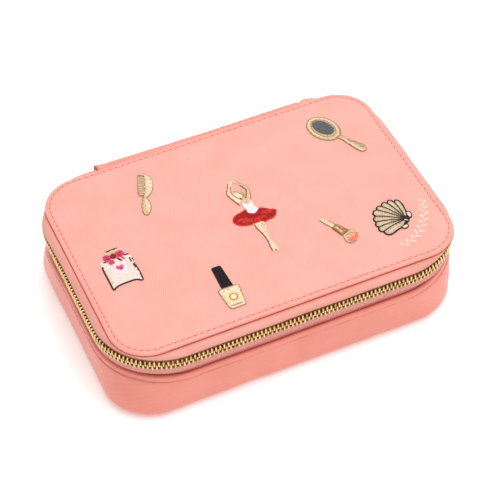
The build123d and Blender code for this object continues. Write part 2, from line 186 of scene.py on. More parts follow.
def lengths(points):
    """Running length along a list of points."""
    total = [0.0]
    for a, b in zip(points, points[1:]):
        total.append(total[-1] + math.dist(a[:2], b[:2]))
    return total


def tube(rows, count):
    """Faces that join rows of count points each, row to row, all the way round."""
    faces = []
    for k in range(rows - 1):
        for i in range(count):
            j = (i + 1) % count
            faces.append((k * count + i, k * count + j, (k + 1) * count + j, (k + 1) * count + i))
    return faces


def skin(stations, closed=True, loop=False, ripple=0.0):
    """Points, faces, UVs and length of a skin through stations (grow, radius, z, left, right).

    loop joins the last station to the first; ripple pushes the skin in and out a little.
    """
    rings = [outline(s[0], s[1], closed, *s[3:]) for s in stations]
    count = len(rings[0])
    along = lengths(rings[0] if not closed else rings[0] + [rings[0][0]])
    verts = []
    uvs = []
    across = 0.0
    for k, (points, station) in enumerate(zip(rings, stations)):
        if k:
            across += math.hypot(station[0] - stations[k - 1][0], station[2] - stations[k - 1][2])
        for i, (x, y, nx, ny) in enumerate(points):
            push = ripple * noise.noise(Vector((x, y, station[2])) * 0.045)
            verts.append((x + nx * push, y + ny * push, station[2]))
            uvs.append((along[i], across))
    faces = []
    last = count if closed else count - 1
    for k in range(len(rings) if loop else len(rings) - 1):
        a = k * count
        b = ((k + 1) % len(rings)) * count
        for i in range(last):
            j = (i + 1) % count
            faces.append((a + i, a + j, b + j, b + i))
    if not closed and loop:
        faces.append(tuple(k * count for k in range(len(rings))))
        faces.append(tuple(k * count + count - 1 for k in reversed(range(len(rings)))))
    return verts, faces, uvs, along[-1]


def band(name, stations, material, closed=True, loop=False, ripple=0.0):
    """Piece made of one skin."""
    verts, faces, uvs, length = skin(stations, closed, loop, ripple)
    return new_object(name, verts, faces, material, uvs, wrap=length)


def add_cap(verts, faces, uvs, first, count, flip):
    """Close a ring of points with a fan round its middle."""
    cx = sum(verts[first + i][0] for i in range(count)) / count
    cy = sum(verts[first + i][1] for i in range(count)) / count
    verts.append((cx, cy, verts[first][2]))
    uvs.append((cx, cy))
    middle = len(verts) - 1
    for i in range(count):
        j = (i + 1) % count
        faces.append((first + i, first + j, middle) if flip else (first + j, first + i, middle))


def zip_point(s):
    """Point and outward angle at arc length s along the middle of the chain."""
    r = MID_R
    quarter = r * math.pi / 2
    runs = (
        ("arc", quarter, ARC_LEFT, ARC_Y, 90.0),
        ("line", 2 * ARC_Y, ARC_LEFT - r, ARC_Y, 180.0),
        ("arc", quarter, ARC_LEFT, -ARC_Y, 180.0),
        ("line", ARC_RIGHT - ARC_LEFT, ARC_LEFT, -ARC_Y - r, 270.0),
        ("arc", quarter, ARC_RIGHT, -ARC_Y, 270.0),
        ("line", 2 * ARC_Y, ARC_RIGHT + r, -ARC_Y, 0.0),
        ("arc", quarter, ARC_RIGHT, ARC_Y, 0.0),
    )
    for kind, length, x, y, angle in runs:
        if s <= length:
            if kind == "arc":
                a = angle + math.degrees(s / r)
                rad = math.radians(a)
                return x + r * math.cos(rad), y + r * math.sin(rad), a
            travel = math.radians(angle + 90.0)
            return x + s * math.cos(travel), y + s * math.sin(travel), angle
        s -= length
    return x, y, angle + 90.0


def smooth_path(points, closed=False, steps=6):
    """Catmull-Rom curve through points."""
    n = len(points)
    out = []
    spans = n if closed else n - 1
    for i in range(spans):
        p0 = points[(i - 1) % n] if closed or i > 0 else points[0]
        p1 = points[i]
        p2 = points[(i + 1) % n]
        p3 = points[(i + 2) % n] if closed or i + 2 < n else points[-1]
        for k in range(steps):
            t = k / steps
            out.append(tuple(
                0.5 * (2 * b + (c - a) * t + (2 * a - 5 * b + 4 * c - d) * t * t
                       + (3 * b - a - 3 * c + d) * t ** 3)
                for a, b, c, d in zip(p0, p1, p2, p3)
            ))
    if not closed:
        out.append(tuple(points[-1]))
    return out


def ring(*numbers, steps=6):
    """Closed smooth outline through x, y, x, y ..."""
    return smooth_path(list(zip(numbers[::2], numbers[1::2])), True, steps)


def bend(*numbers, steps=6):
    """Open smooth line through x, y, x, y ..."""
    return smooth_path(list(zip(numbers[::2], numbers[1::2])), False, steps)


# ---------------------------------------------------------------- materials


class Nodes:
    """A short way to write a material's node tree."""

    def __init__(self, name):
        self.material = bpy.data.materials.new(name)
        self.material.use_nodes = True
        self.tree = self.material.node_tree
        self.shader = self.tree.nodes["Principled BSDF"]

    def add(self, kind, **settings):
        node = self.tree.nodes.new(kind)
        for key, value in settings.items():
            if key.startswith("in_"):
                socket = key[3:].replace("_", " ")
                node.inputs[int(socket) if socket.isdigit() else socket].default_value = value
            else:
                setattr(node, key, value)
        return node

    def link(self, out, into):
        self.tree.links.new(out, into)
        return into.node

    def feed(self, name, value):
        """Set an input of the shader, or link another node's output into it."""
        socket = self.shader.inputs[name]
        if isinstance(value, bpy.types.NodeSocket):
            self.link(value, socket)
        else:
            socket.default_value = value

    def coordinate(self, kind):
        """Output of the texture coordinates: UV in millimetres, or Object in metres."""
        return self.add("ShaderNodeTexCoord").outputs[kind]

    def noise(self, where, scale, detail=4.0):
        node = self.add("ShaderNodeTexNoise", in_Scale=scale, in_Detail=detail)
        self.link(where, node.inputs["Vector"])
        return node.outputs["Fac"]

    def mix(self, factor, a, b, low=0.35, high=0.65):
        ramp = self.add("ShaderNodeValToRGB")
        ramp.color_ramp.elements[0].position = low
        ramp.color_ramp.elements[1].position = high
        ramp.color_ramp.elements[0].color = *a, 1
        ramp.color_ramp.elements[1].color = *b, 1
        self.link(factor, ramp.inputs["Fac"])
        return ramp.outputs["Color"]

    def ranged(self, value, low, high):
        node = self.add("ShaderNodeMapRange", in_3=low, in_4=high)
        self.link(value, node.inputs[0])
        return node.outputs[0]

    def math(self, operation, a, b):
        node = self.add("ShaderNodeMath", operation=operation)
        for index, value in enumerate((a, b)):
            if isinstance(value, (int, float)):
                node.inputs[index].default_value = value
            else:
                self.link(value, node.inputs[index])
        return node.outputs[0]

    def bump(self, height, distance, strength=1.0, normal=None):
        node = self.add("ShaderNodeBump", in_Distance=distance, in_Strength=strength)
        self.link(height, node.inputs["Height"])
        if normal is not None:
            self.link(normal, node.inputs["Normal"])
        return node.outputs["Normal"]


def wave(tree, where, scale, angle, distortion=0.6):
    """Even ridges across a direction of the surface."""
    turn = tree.add("ShaderNodeMapping")
    turn.inputs["Rotation"].default_value = 0, 0, math.radians(angle)
    tree.link(where, turn.inputs["Vector"])
    ridges = tree.add("ShaderNodeTexWave", wave_type="BANDS", bands_direction="X", in_Scale=scale,
                      in_Distortion=distortion, in_Detail=1.0)
    tree.link(turn.outputs["Vector"], ridges.inputs["Vector"])
    return ridges.outputs["Fac"]


def leather(name, light, deep, rough=0.42):
    """Cross-hatched coated leather; its UV map is in millimetres."""
    t = Nodes(name)
    uv = t.coordinate("UV")
    where = t.coordinate("Object")
    hatch = t.math("ADD", wave(t, uv, 0.24, 24, 2.6), t.math("MULTIPLY", wave(t, uv, 0.29, -48, 2.6), 0.5))
    pores = t.noise(uv, 1.6, 3.0)
    relief = t.math("ADD", hatch, t.math("MULTIPLY", pores, 0.7))
    mottle = t.noise(where, 55.0, 5.0)
    base = t.mix(mottle, deep, light, 0.30, 0.62)
    shade = t.add("ShaderNodeMix", data_type="RGBA", blend_type="MULTIPLY", in_0=0.10)
    t.link(base, shade.inputs["A"])
    t.link(t.mix(hatch, (0.84, 0.70, 0.66), (1.0, 1.0, 1.0), 0.1, 1.0), shade.inputs["B"])
    t.feed("Base Color", shade.outputs["Result"])
    t.feed("Roughness", t.ranged(relief, rough + 0.10, rough - 0.06))
    t.feed("Normal", t.bump(relief, 0.00016, 0.45))
    t.feed("Specular IOR Level", 0.42)
    return t.material


def woven(name, light, deep):
    """Twill zip tape; its UV map is in millimetres."""
    t = Nodes(name)
    uv = t.coordinate("UV")
    ribs = wave(t, uv, 0.36, 35, 0.3)
    cross = wave(t, uv, 0.5, -50, 0.3)
    relief = t.math("ADD", ribs, t.math("MULTIPLY", cross, 0.5))
    t.feed("Base Color", t.mix(relief, deep, light, 0.2, 1.1))
    t.feed("Normal", t.bump(relief, 0.0002, 0.7))
    t.feed("Roughness", 0.78)
    t.feed("Sheen Weight", 0.15)
    return t.material


def brass(name, tone=(0.80, 0.59, 0.26), dark=(0.32, 0.19, 0.06), rough=0.22):
    """Plated zip brass with fine drag lines and darker wear."""
    t = Nodes(name)
    where = t.coordinate("Object")
    wear = t.noise(where, 420.0, 4.0)
    fine = t.noise(where, 2600.0, 2.0)
    t.feed("Base Color", t.mix(wear, dark, tone, 0.28, 0.52))
    t.feed("Roughness", t.ranged(wear, rough + 0.16, rough - 0.04))
    t.feed("Normal", t.bump(fine, 0.00003, 0.5))
    t.feed("Metallic", 1.0)
    return t.material


def thread(name, light, deep, gloss=0.42, sheen=0.12):
    """Embroidery floss: silky, with uneven dye and a fine twist."""
    t = Nodes(name)
    where = t.coordinate("Object")
    dye = t.noise(where, 900.0, 3.0)
    twist = t.noise(where, 5200.0, 2.0)
    t.feed("Base Color", t.mix(dye, deep, light, 0.32, 0.6))
    t.feed("Normal", t.bump(twist, 0.00006, 0.6))
    t.feed("Roughness", t.ranged(twist, gloss + 0.1, gloss - 0.05))
    t.feed("Sheen Weight", sheen)
    t.feed("Specular IOR Level", 0.25)
    return t.material


def velvet(name, light, deep):
    """Short pile with brushed patches."""
    t = Nodes(name)
    where = t.coordinate("Object")
    patches = t.noise(where, 38.0, 4.0)
    pile = t.noise(where, 2200.0, 3.0)
    t.feed("Base Color", t.mix(patches, deep, light))
    t.feed("Normal", t.bump(pile, 0.0003, 0.7))
    t.feed("Roughness", t.ranged(pile, 0.95, 0.8))
    t.feed("Sheen Weight", 0.7)
    t.feed("Sheen Roughness", 0.35)
    return t.material


def card(name, light, deep):
    """Grey board with fibres."""
    t = Nodes(name)
    where = t.coordinate("Object")
    fibres = t.noise(where, 700.0, 6.0)
    t.feed("Base Color", t.mix(fibres, deep, light))
    t.feed("Normal", t.bump(fibres, 0.0001, 0.5))
    t.feed("Roughness", 0.9)
    return t.material


def silvered(name):
    """Mirror glass with faint smears."""
    t = Nodes(name)
    where = t.coordinate("Object")
    smear = t.noise(where, 30.0, 5.0)
    t.feed("Base Color", t.mix(smear, (0.80, 0.84, 0.86), (0.90, 0.92, 0.93)))
    t.feed("Roughness", t.ranged(smear, 0.02, 0.09))
    t.feed("Metallic", 1.0)
    return t.material


def pressed_foil(name):
    """Pale foil pressed into the leather, worn through in places."""
    t = Nodes(name)
    where = t.coordinate("Object")
    worn = t.noise(where, 900.0, 4.0)
    t.feed("Base Color", t.mix(worn, (0.93, 0.44, 0.36), (0.96, 0.56, 0.46), 0.36, 0.52))
    t.feed("Roughness", t.ranged(worn, 0.5, 0.25))
    t.feed("Metallic", 0.15)
    return t.material


TOP_LEATHER = leather("leather_top", (0.91, 0.352, 0.290), (0.875, 0.326, 0.266))
# The side leather is a darker copy of the top's leather: painted shade for the walls, which get less light.
SHADED_SIDE_LEATHER = leather("leather_side", (0.79, 0.270, 0.210), (0.745, 0.242, 0.186))
SPINE_LEATHER = leather("leather_spine", (0.765, 0.298, 0.236), (0.72, 0.265, 0.208))
ROLL_LEATHER = leather("leather_roll", (0.735, 0.325, 0.262), (0.69, 0.288, 0.230))
# The gusset leather is a darker copy of the same leather: painted shade for the recess under the zip.
GUSSET_LEATHER_IN_SHADE = leather("leather_gusset", (0.77, 0.285, 0.230), (0.66, 0.21, 0.17), 0.5)
TAPE = woven("zip_tape_weave", (0.76, 0.33, 0.28), (0.56, 0.19, 0.155))
BRASS = brass("zip_brass")
BRASS_BRIGHT = brass("slider_brass", (0.50, 0.33, 0.115), (0.28, 0.165, 0.05), 0.40)
# Seam colour: painted shade, used in the groove under the lid panel and on the spine's open ends.
SEAM_SHADE = thread("seam_shadow", (0.52, 0.12, 0.095), (0.38, 0.07, 0.055), 0.7, 0.0)
STITCH = thread("stitch_thread", (0.80, 0.27, 0.22), (0.66, 0.19, 0.155), 0.5)
# Needle hole colours: painted shade in the holes between stitches.
HOLE_SHADE = thread("needle_hole", (0.47, 0.140, 0.110), (0.34, 0.09, 0.07), 0.8, 0.0)
FAINT_HOLE_SHADE = thread("needle_hole_faint", (0.70, 0.235, 0.185), (0.60, 0.19, 0.15), 0.8, 0.0)
CREAM = thread("thread_cream", (0.76, 0.575, 0.37), (0.62, 0.44, 0.26))
IVORY = thread("thread_ivory", (0.87, 0.72, 0.53), (0.75, 0.59, 0.41))
SHELL = thread("thread_shell", (0.62, 0.53, 0.38), (0.49, 0.4, 0.27))
GOLD = thread("thread_gold", (0.5, 0.33, 0.14), (0.36, 0.22, 0.08))
OCHRE = thread("thread_ochre", (0.52, 0.24, 0.065), (0.36, 0.14, 0.035))
BROWN = thread("thread_brown", (0.215, 0.110, 0.050), (0.13, 0.062, 0.028), 0.5, 0.02)
TAN = thread("thread_tan", (0.43, 0.275, 0.150), (0.32, 0.19, 0.098), 0.5, 0.03)
DARK = thread("thread_dark", (0.030, 0.017, 0.016), (0.014, 0.008, 0.008), 0.6, 0.0)
BLACK = thread("thread_black", (0.008, 0.007, 0.010), (0.004, 0.003, 0.005), 0.5, 0.0)
WHITE = thread("thread_white", (0.9, 0.86, 0.91), (0.8, 0.76, 0.81))
PAPER = thread("thread_paper", (0.9, 0.78, 0.71), (0.79, 0.66, 0.59))
CLEAR = thread("thread_label", (0.86, 0.72, 0.82), (0.76, 0.62, 0.71))
RED = thread("thread_red", (0.50, 0.013, 0.012), (0.24, 0.004, 0.005), 0.5, 0.0)
RED_LIGHT = thread("thread_red_light", (0.68, 0.030, 0.018), (0.44, 0.012, 0.010), 0.45, 0.0)
PINK = thread("thread_pink", (0.70, 0.080, 0.160), (0.46, 0.020, 0.062), 0.45, 0.05)
CRIMSON = thread("thread_crimson", (0.32, 0.008, 0.030), (0.20, 0.004, 0.018), 0.5, 0.05)
STRAW = thread("thread_straw", (0.86, 0.69, 0.36), (0.77, 0.59, 0.28))
CORAL = thread("thread_coral", (0.84, 0.21, 0.13), (0.72, 0.14, 0.08))
SLATE = thread("thread_slate", (0.125, 0.130, 0.140), (0.095, 0.10, 0.11), 0.5, 0.05)
VELVET = velvet("velvet_blush", (0.80, 0.42, 0.40), (0.66, 0.30, 0.29))
BOARD = card("board_grey", (0.50, 0.44, 0.37), (0.38, 0.33, 0.28))
MIRROR = silvered("mirror_silver")
FOIL = pressed_foil("foil_blush")


def paint(node, material):
    """Give a CAD node that keeps its shape a finished material."""
    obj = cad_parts[node]
    obj.data.materials.clear()
    obj.data.materials.append(material)


# ---------------------------------------------------------------- leather and tape


def base_leather():
    """Base skin: flat underside, rounded foot, leaning wall, rounded rim and the glue edge inside."""
    foot = FOOT_LEFT, FOOT_RIGHT
    stations = [(FOOT_G - 60.0, 6.0, 0.0, *foot), (FOOT_G - 30.0, 10.0, 0.0, *foot)]
    for i in range(9):
        a = math.radians(-90 + 90 * i / 8)
        inset = FOOT_FILLET * (1 - math.cos(a))
        stations.append((FOOT_G - inset, FOOT_R - inset, FOOT_FILLET * (1 + math.sin(a)), *foot))
    wall_top = RIM_Z - RIM_ROUND
    for i in range(1, 13):
        t = i / 12
        z = FOOT_FILLET + (wall_top - FOOT_FILLET) * t
        puff = 0.35 * math.sin(math.pi * t)
        sink = 0.14 * math.exp(-((z - (RIM_Z - STITCH_DOWN)) / 0.7) ** 2)
        grow = FOOT_G + (RIM_G - FOOT_G) * t + puff - sink
        radius = FOOT_R + (RIM_R - FOOT_R) * t
        stations.append((grow, radius, z, FOOT_LEFT * (1 - t), FOOT_RIGHT + (OVERHANG - FOOT_RIGHT) * t))
    for i in range(1, 6):
        a = math.radians(90 * i / 5)
        inset = RIM_ROUND * (1 - math.cos(a))
        stations.append((RIM_G - inset, RIM_R - inset, wall_top + RIM_ROUND * math.sin(a), 0.0, OVERHANG))
    stations += under_lid([(3.9, RIM_R - 2.3, RIM_Z - 0.05), (3.25, RIM_R - 2.9, RIM_Z - 0.7),
                           (3.22, RIM_R - 3.0, RIM_Z - 5.0)])
    verts, faces, uvs, _ = skin(stations, ripple=0.5)
    wrap = max(u for u, _ in uvs) + 2.0
    count = len(verts) // len(stations)
    for v in range(len(verts)):
        if verts[v][2] < 0.02:
            verts[v] = verts[v][0], verts[v][1], 0.0
    add_cap(verts, faces, uvs, 0, count, flip=False)
    obj = new_object("base_leather", verts, faces, SHADED_SIDE_LEATHER, uvs, wrap=wrap)
    place(obj, "base", "leather_side", "base_shell")


def top_leather():
    """Lid panel with a rolled edge, the valley its stitches pull and a flat middle."""
    stations = [(-3.0, PANEL_R - 3.0, SEAM_Z + 0.05), (-0.4, PANEL_R - 0.4, SEAM_Z + 0.02)]
    height = TOP_Z - SEAM_Z
    edge_roll = 1.1
    for i in range(9):
        a = math.radians(-90 + 180 * i / 8)
        inset = edge_roll * (1 - math.cos(a))
        stations.append((PANEL_LIP - inset, PANEL_R + PANEL_LIP - inset,
                         SEAM_Z + height / 2 + height / 2 * math.sin(a)))
    edge_stations = len(stations)
    for inset in (1.2, 1.6, 2.0, 2.4, 2.8, 3.2, 3.8, 5.0, 8.0, 14.0, 18.0):
        sink = 0.12 * math.exp(-((inset - STITCH_IN) / 0.5) ** 2)
        stations.append((-inset, max(PANEL_R - inset, 2.0), TOP_Z - sink))
    stations += [(-30.0, 2.0, TOP_Z), (-50.0, 2.0, TOP_Z), (-68.0, 2.0, TOP_Z)]
    verts, faces, uvs, _ = skin(stations)
    count = len(verts) // len(stations)
    for v in range(edge_stations * count, len(verts)):
        uvs[v] = verts[v][:2]
    add_cap(verts, faces, uvs, len(verts) - count, count, flip=True)
    obj = new_object("top_leather", verts, faces, TOP_LEATHER, uvs)
    place(obj, "lid", "leather_top", "lid_panel")


def lid_gusset_leather():
    """Soft roll of leather between the lid panel and the zip; the lid overhangs the zip on the right."""
    profile = [(-1.2, 21.3, SEAM_Z - 0.9), (-0.7, 21.8, SEAM_Z - 0.25), (0.4, 23.6, SEAM_Z - 0.05),
               (1.6, 27.2, SEAM_Z + 0.02), (2.8, 31.2, SEAM_Z - 0.2), (4.0, 35.2, SEAM_Z - 0.75),
               (5.0, 38.4, SEAM_Z - 1.5), (5.55, 40.2, GUSSET_Z + 0.4), (5.4, 40.4, GUSSET_Z + 0.05),
               (4.9, 39.9, GUSSET_Z), (4.1, 39.1, GUSSET_Z + 0.02), (3.0, 34.0, 47.7), (-1.4, 24.0, 48.2)]
    stations = []
    for g, r, z in profile:
        out = min(1.0, max(0.0, (g + 0.6) / 5.6))
        stations.append((g, r, z, 0.8 * out, (OVERHANG + 0.3) * out))
    obj = band("lid_gusset_leather", stations, ROLL_LEATHER, loop=True, ripple=0.35)
    for vertex in obj.data.vertices:
        x, y = vertex.co.x / MM, vertex.co.y / MM
        rear_left = min(1.0, max(0.0, (y - 10.0) / 30.0)) * min(1.0, max(0.0, (-x - 101.0) / 6.0))
        vertex.co.x -= 1.1 * rear_left * MM
    place(obj, "lid", "leather_side", "lid_gusset")


def under_lid(stations):
    """Stations of a band that follows the zip."""
    return [(*station, 0.0, OVERHANG) for station in stations]


def base_gusset_leather():
    """Recessed strip that climbs from inside the rim to the zip tape."""
    stations = [(3.2, 42.0, 28.0), (3.2, 42.0, 31.0), (3.5, 41.6, 33.0), (4.1, 40.8, 35.2),
                (4.5, 39.9, 37.2), (4.55, 39.6, 38.5), (3.3, 38.3, 38.5), (2.6, 39.2, 35.0),
                (1.9, 40.5, 31.0), (1.85, 40.6, 28.0)]
    # Its darker leather is painted shade for the recess.
    obj = band("base_gusset_leather", under_lid(stations), GUSSET_LEATHER_IN_SHADE, loop=True, ripple=0.3)
    place(obj, "base", "leather_side", "base_gusset")


def tapes():
    """Woven zip tapes, open along the spine, each with a lip behind its row of teeth."""
    low, high = TAPE_LOW[2], TAPE_HIGH[2]
    lip = TOOTH_IN + 0.5
    stations = [(5.35, ARC_R0 + 5.35, high - 0.02), (5.45, ARC_R0 + 5.45, high - 0.6),
                (5.3, ARC_R0 + 5.3, (low + high) / 2), (5.4, ARC_R0 + 5.4, low),
                (4.7, ARC_R0 + 4.7, low), (4.7, ARC_R0 + 4.7, high - 0.9),
                (lip - 0.6, ARC_R0 + lip - 0.6, high - 0.3), (lip - 0.6, ARC_R0 + lip - 0.6, ZIP_Z - 0.1),
                (lip, ARC_R0 + lip, ZIP_Z - 0.1), (lip, ARC_R0 + lip, high - 0.02)]
    lower = band("tape_lower_cloth", under_lid(stations), TAPE, closed=False, loop=True)
    place(lower, "base", "zip_tape", "zip_tape_lower")
    low, high = TEETH_HIGH[2], GUSSET_Z
    stations = [(4.7, ARC_R0 + 4.7, high - 0.02), (4.7, ARC_R0 + 4.7, low + 0.02),
                (lip, ARC_R0 + lip, low + 0.02), (lip, ARC_R0 + lip, ZIP_Z + 0.1),
                (lip - 0.6, ARC_R0 + lip - 0.6, ZIP_Z + 0.1), (lip - 0.6, ARC_R0 + lip - 0.6, low + 0.3),
                (lip - 0.8, ARC_R0 + lip - 0.8, high - 0.02)]
    upper = band("tape_upper_cloth", under_lid(stations), TAPE, closed=False, loop=True)
    place(upper, "lid", "zip_tape", "zip_tape_upper")


def seam_shadow_cord():
    """Dark cord in the groove under the lid panel: painted shade for the groove."""
    stations = []
    for i in range(8):
        a = math.tau * i / 8
        grow = 0.25 + 0.34 * math.cos(a)
        stations.append((grow, PANEL_R + grow, SEAM_Z + 0.10 - 0.34 * math.sin(a)))
    place(band("seam_shadow_cord", stations, SEAM_SHADE, loop=True), "lid", "leather_side")


def spine_leather():
    """Hinge strip: tucked under the lid panel, folded over the rear and sewn down the base wall."""
    fold_r = 6.4
    fold_y = SPINE_LOW[1] - 0.45 + 3.8
    fold_z = SPINE_HIGH[2] - fold_r
    wall_y = HALF_W + RIM_G + 0.1
    outer = [(SPINE_LOW[1], fold_z + fold_r), (fold_y, fold_z + fold_r)]
    for i in range(1, 13):
        a = math.radians(90 - 90 * i / 12)
        outer.append((fold_y + fold_r * math.cos(a), fold_z + fold_r * math.sin(a)))
    outer += [(fold_y + fold_r - 0.25, fold_z - 3), (fold_y + fold_r - 0.8, fold_z - 6.5),
              (wall_y + 1.75, RIM_Z + 2.5), (wall_y + SPINE_T + 0.05, RIM_Z - 0.6),
              (wall_y + SPINE_T, 27.0), (wall_y + SPINE_T, SPINE_LOW[2] + 0.4)]
    pressed = [(SPINE_LOW[1], 50.8), (74.6, 50.5), (75.7, 50.0), (76.6, 49.4), (77.4, 48.7), (78.1, 47.9),
               (78.7, 47.0), (79.2, 46.0), (79.7, 44.9), (80.1, 43.7), (80.4, 42.4), (80.6, 41.2),
               (80.7, 40.4), (80.8, 39.6), (80.7, 38.6), (80.6, 36.4), (80.4, RIM_Z + 2.5)] + outer[-3:]

    def section(amount):
        """The fold's outer and inner points; amount runs from round (0) to pressed flat (1)."""
        line = [(y + (py - y) * amount, z + (pz - z) * amount) for (y, z), (py, pz) in zip(outer, pressed)]
        made = []
        for i, (y, z) in enumerate(line):
            before = line[max(i - 1, 0)]
            after = line[min(i + 1, len(line) - 1)]
            ty, tz = after[0] - before[0], after[1] - before[1]
            size = math.hypot(ty, tz)
            made.append((y, z, y + tz / size * SPINE_T, z - ty / size * SPINE_T))
        return made

    count = 66
    verts, uvs, faces = [], [], []
    open_end, beside_it, further_on = 0.25, 0.20, 0.62    # the open left end is pressed least
    sections = [section(open_end + beside_it * min(1.0, i / 3) + further_on * min(1.0, 1.7 * i / count))
                for i in range(count + 1)]
    profile = sections[0]
    across = 0.0
    for k in range(len(profile)):
        if k:
            across += math.dist(profile[k - 1][:2], profile[k][:2])
        for i in range(count + 1):
            t = i / count
            yo, zo, yi, zi = sections[i][k]
            x = SPINE_LOW[0] + (SPINE_HIGH[0] - SPINE_LOW[0]) * t
            wave_y = 0.3 * noise.noise(Vector((x * 0.05, zo * 0.1, 3.0))) * min(1.0, 4 * t, 4 * (1 - t))
            verts.append((x, yo + wave_y, zo))
            verts.append((x, yi + wave_y, zi))
            uvs += [(x, across), (x, across)]
    row = 2 * (count + 1)
    for k in range(len(profile) - 1):
        for i in range(count):
            a = k * row + 2 * i
            b = a + row
            faces.append((a, b, b + 2, a + 2))
            faces.append((a + 1, a + 3, b + 3, b + 1))
        left, right = k * row, k * row + row - 2
        faces.append((left, left + 1, left + row + 1, left + row))
        faces.append((right, right + row, right + row + 1, right + 1))
    for i in range(count):
        a = 2 * i
        faces.append((a, a + 2, a + 3, a + 1))
        b = (len(profile) - 1) * row + 2 * i
        faces.append((b, b + 1, b + 3, b + 2))
    obj = new_object("spine_leather", verts, faces, SPINE_LEATHER, uvs)
    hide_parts("hinge_spine")
    # The end faces get the dark seam colour: painted shade for the fold's open ends.
    edge_verts, edge_faces = [], []
    for end, x in ((sections[0], SPINE_LOW[0] - 0.05), (sections[-1], SPINE_HIGH[0] + 0.05)):
        first = len(edge_verts)
        for k, (yo, zo, yi, zi) in enumerate(end):
            edge_verts += [(x, yo, zo), (x, yi, zi)]
            if k:
                a = first + 2 * k
                edge_faces.append((a - 2, a - 1, a + 1, a))
    edge = new_object("spine_end_shade", edge_verts, edge_faces, SEAM_SHADE)
    for piece in (obj, edge):
        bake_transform(piece)


# ---------------------------------------------------------------- stitches


class Strands:
    """Collects short raised threads into one mesh."""

    ARCH = (0.0, 0.0, 0.55), (0.14, 0.72, 0.95), (0.5, 1.0, 1.0), (0.86, 0.72, 0.95), (1.0, 0.0, 0.55)

    def __init__(self):
        self.verts = []
        self.faces = []

    def lay(self, a, b, width, lift, normal=(0, 0, 1), sink=0.06):
        """One stitch from a to b, standing on the surface whose normal is given.

        Along it, ARCH gives the share of the way, of the lift and of the width.
        """
        a, b, up = Vector(a), Vector(b), Vector(normal).normalized()
        run = b - a
        if run.length < 1e-4:
            return
        side = up.cross(run).normalized() * (width / 2)
        base = len(self.verts)
        for t, h, w in self.ARCH:
            middle = a + run * t + up * (lift * h - sink)
            top = up * (width * 0.42)
            self.verts += [tuple(middle - side * w), tuple(middle - side * w * 0.5 + top),
                           tuple(middle + side * w * 0.5 + top), tuple(middle + side * w)]
        for k in range(4):
            for j in range(3):
                p = base + 4 * k + j
                self.faces.append((p, p + 4, p + 5, p + 1))
        self.faces.append((base, base + 1, base + 2, base + 3))
        self.faces.append((base + 19, base + 18, base + 17, base + 16))

    def build(self, name, material):
        return new_object(name, self.verts, self.faces, material)


def stitch_row(name, grow, radius, z, pitch, length, normal_z, body, left=0.0, right=0.0, dark=HOLE_SHADE):
    """Machine stitches along a rounded rectangle, with a dark mark between them: painted shade in the needle
    holes.
    """
    path = outline(grow, radius, True, left, right, arc_n=40, long_n=200, short_n=120)
    path.append(path[0])
    run = lengths(path)
    threads, holes = Strands(), Strands()

    def at(s):
        """Point and outward direction at a length along the row."""
        s %= run[-1]
        low, high = 0, len(run) - 1
        while high - low > 1:
            mid = (low + high) // 2
            if run[mid] <= s:
                low = mid
            else:
                high = mid
        t = (s - run[low]) / (run[high] - run[low])
        return [path[low][k] + (path[high][k] - path[low][k]) * t for k in range(4)]

    count = round(run[-1] / pitch)
    step = run[-1] / count
    flat = math.sqrt(max(0.0, 1 - normal_z ** 2))
    for i in range(count):
        s = i * step + random.uniform(-0.06, 0.06)
        x0, y0, nx, ny = at(s)
        x1, y1 = at(s + length)[:2]
        normal = nx * flat, ny * flat, normal_z
        threads.lay((x0, y0, z), (x1, y1, z), 0.50, 0.10, normal, 0.10)
        gap = at(s - (step - length) * 0.95)
        ahead = at(s - (step - length) * 0.05)
        holes.lay((gap[0], gap[1], z), (ahead[0], ahead[1], z), 0.68, 0.05, normal, 0.12)
    place(threads.build(name, STITCH), body, "leather_side")
    place(holes.build(name + "_holes", dark), body, "leather_side")


def spine_stitches():
    """A row along the top of the fold, one along the strip's foot."""
    pitch, length = 3.8, 1.7
    foot_y = HALF_W + RIM_G + SPINE_T + 0.1
    for name, y, z, normal in (("spine_top_stitches", SPINE_LOW[1] + 2.0, SPINE_HIGH[2] - 0.25, (0, 0, 1)),
                               ("spine_foot_stitches", foot_y, SPINE_LOW[2] + 2.6, (0, 1, 0))):
        holes = Strands()
        count = int((SPINE_HIGH[0] - SPINE_LOW[0] - 5) / pitch)
        for i in range(count):
            x = SPINE_LOW[0] + 3 + i * pitch
            holes.lay((x, y, z), (x + length, y, z), 0.5, 0.1, normal, 0.12)
        body = "lid" if normal[2] else "base"
        # These faint dark dashes are painted shade of the needle holes.
        place(holes.build(name, FAINT_HOLE_SHADE), body, "leather_side")


def all_stitches():
    """The spine's rows, the lid's, and the base's, which has no dark needle holes."""
    spine_stitches()
    stitch_row("lid_stitches", -STITCH_IN, PANEL_R - STITCH_IN, TOP_Z - 0.08, 3.8, 2.3, 1.0, "lid")
    lean = STITCH_DOWN / (RIM_Z - FOOT_FILLET)
    stitch_row("base_stitches", RIM_G - 0.18, RIM_R - (RIM_R - FOOT_R) * lean, RIM_Z - STITCH_DOWN, 3.6, 2.6,
               0.0, "base", FOOT_LEFT * lean, OVERHANG + (FOOT_RIGHT - OVERHANG) * lean, STITCH)


# ---------------------------------------------------------------- zip


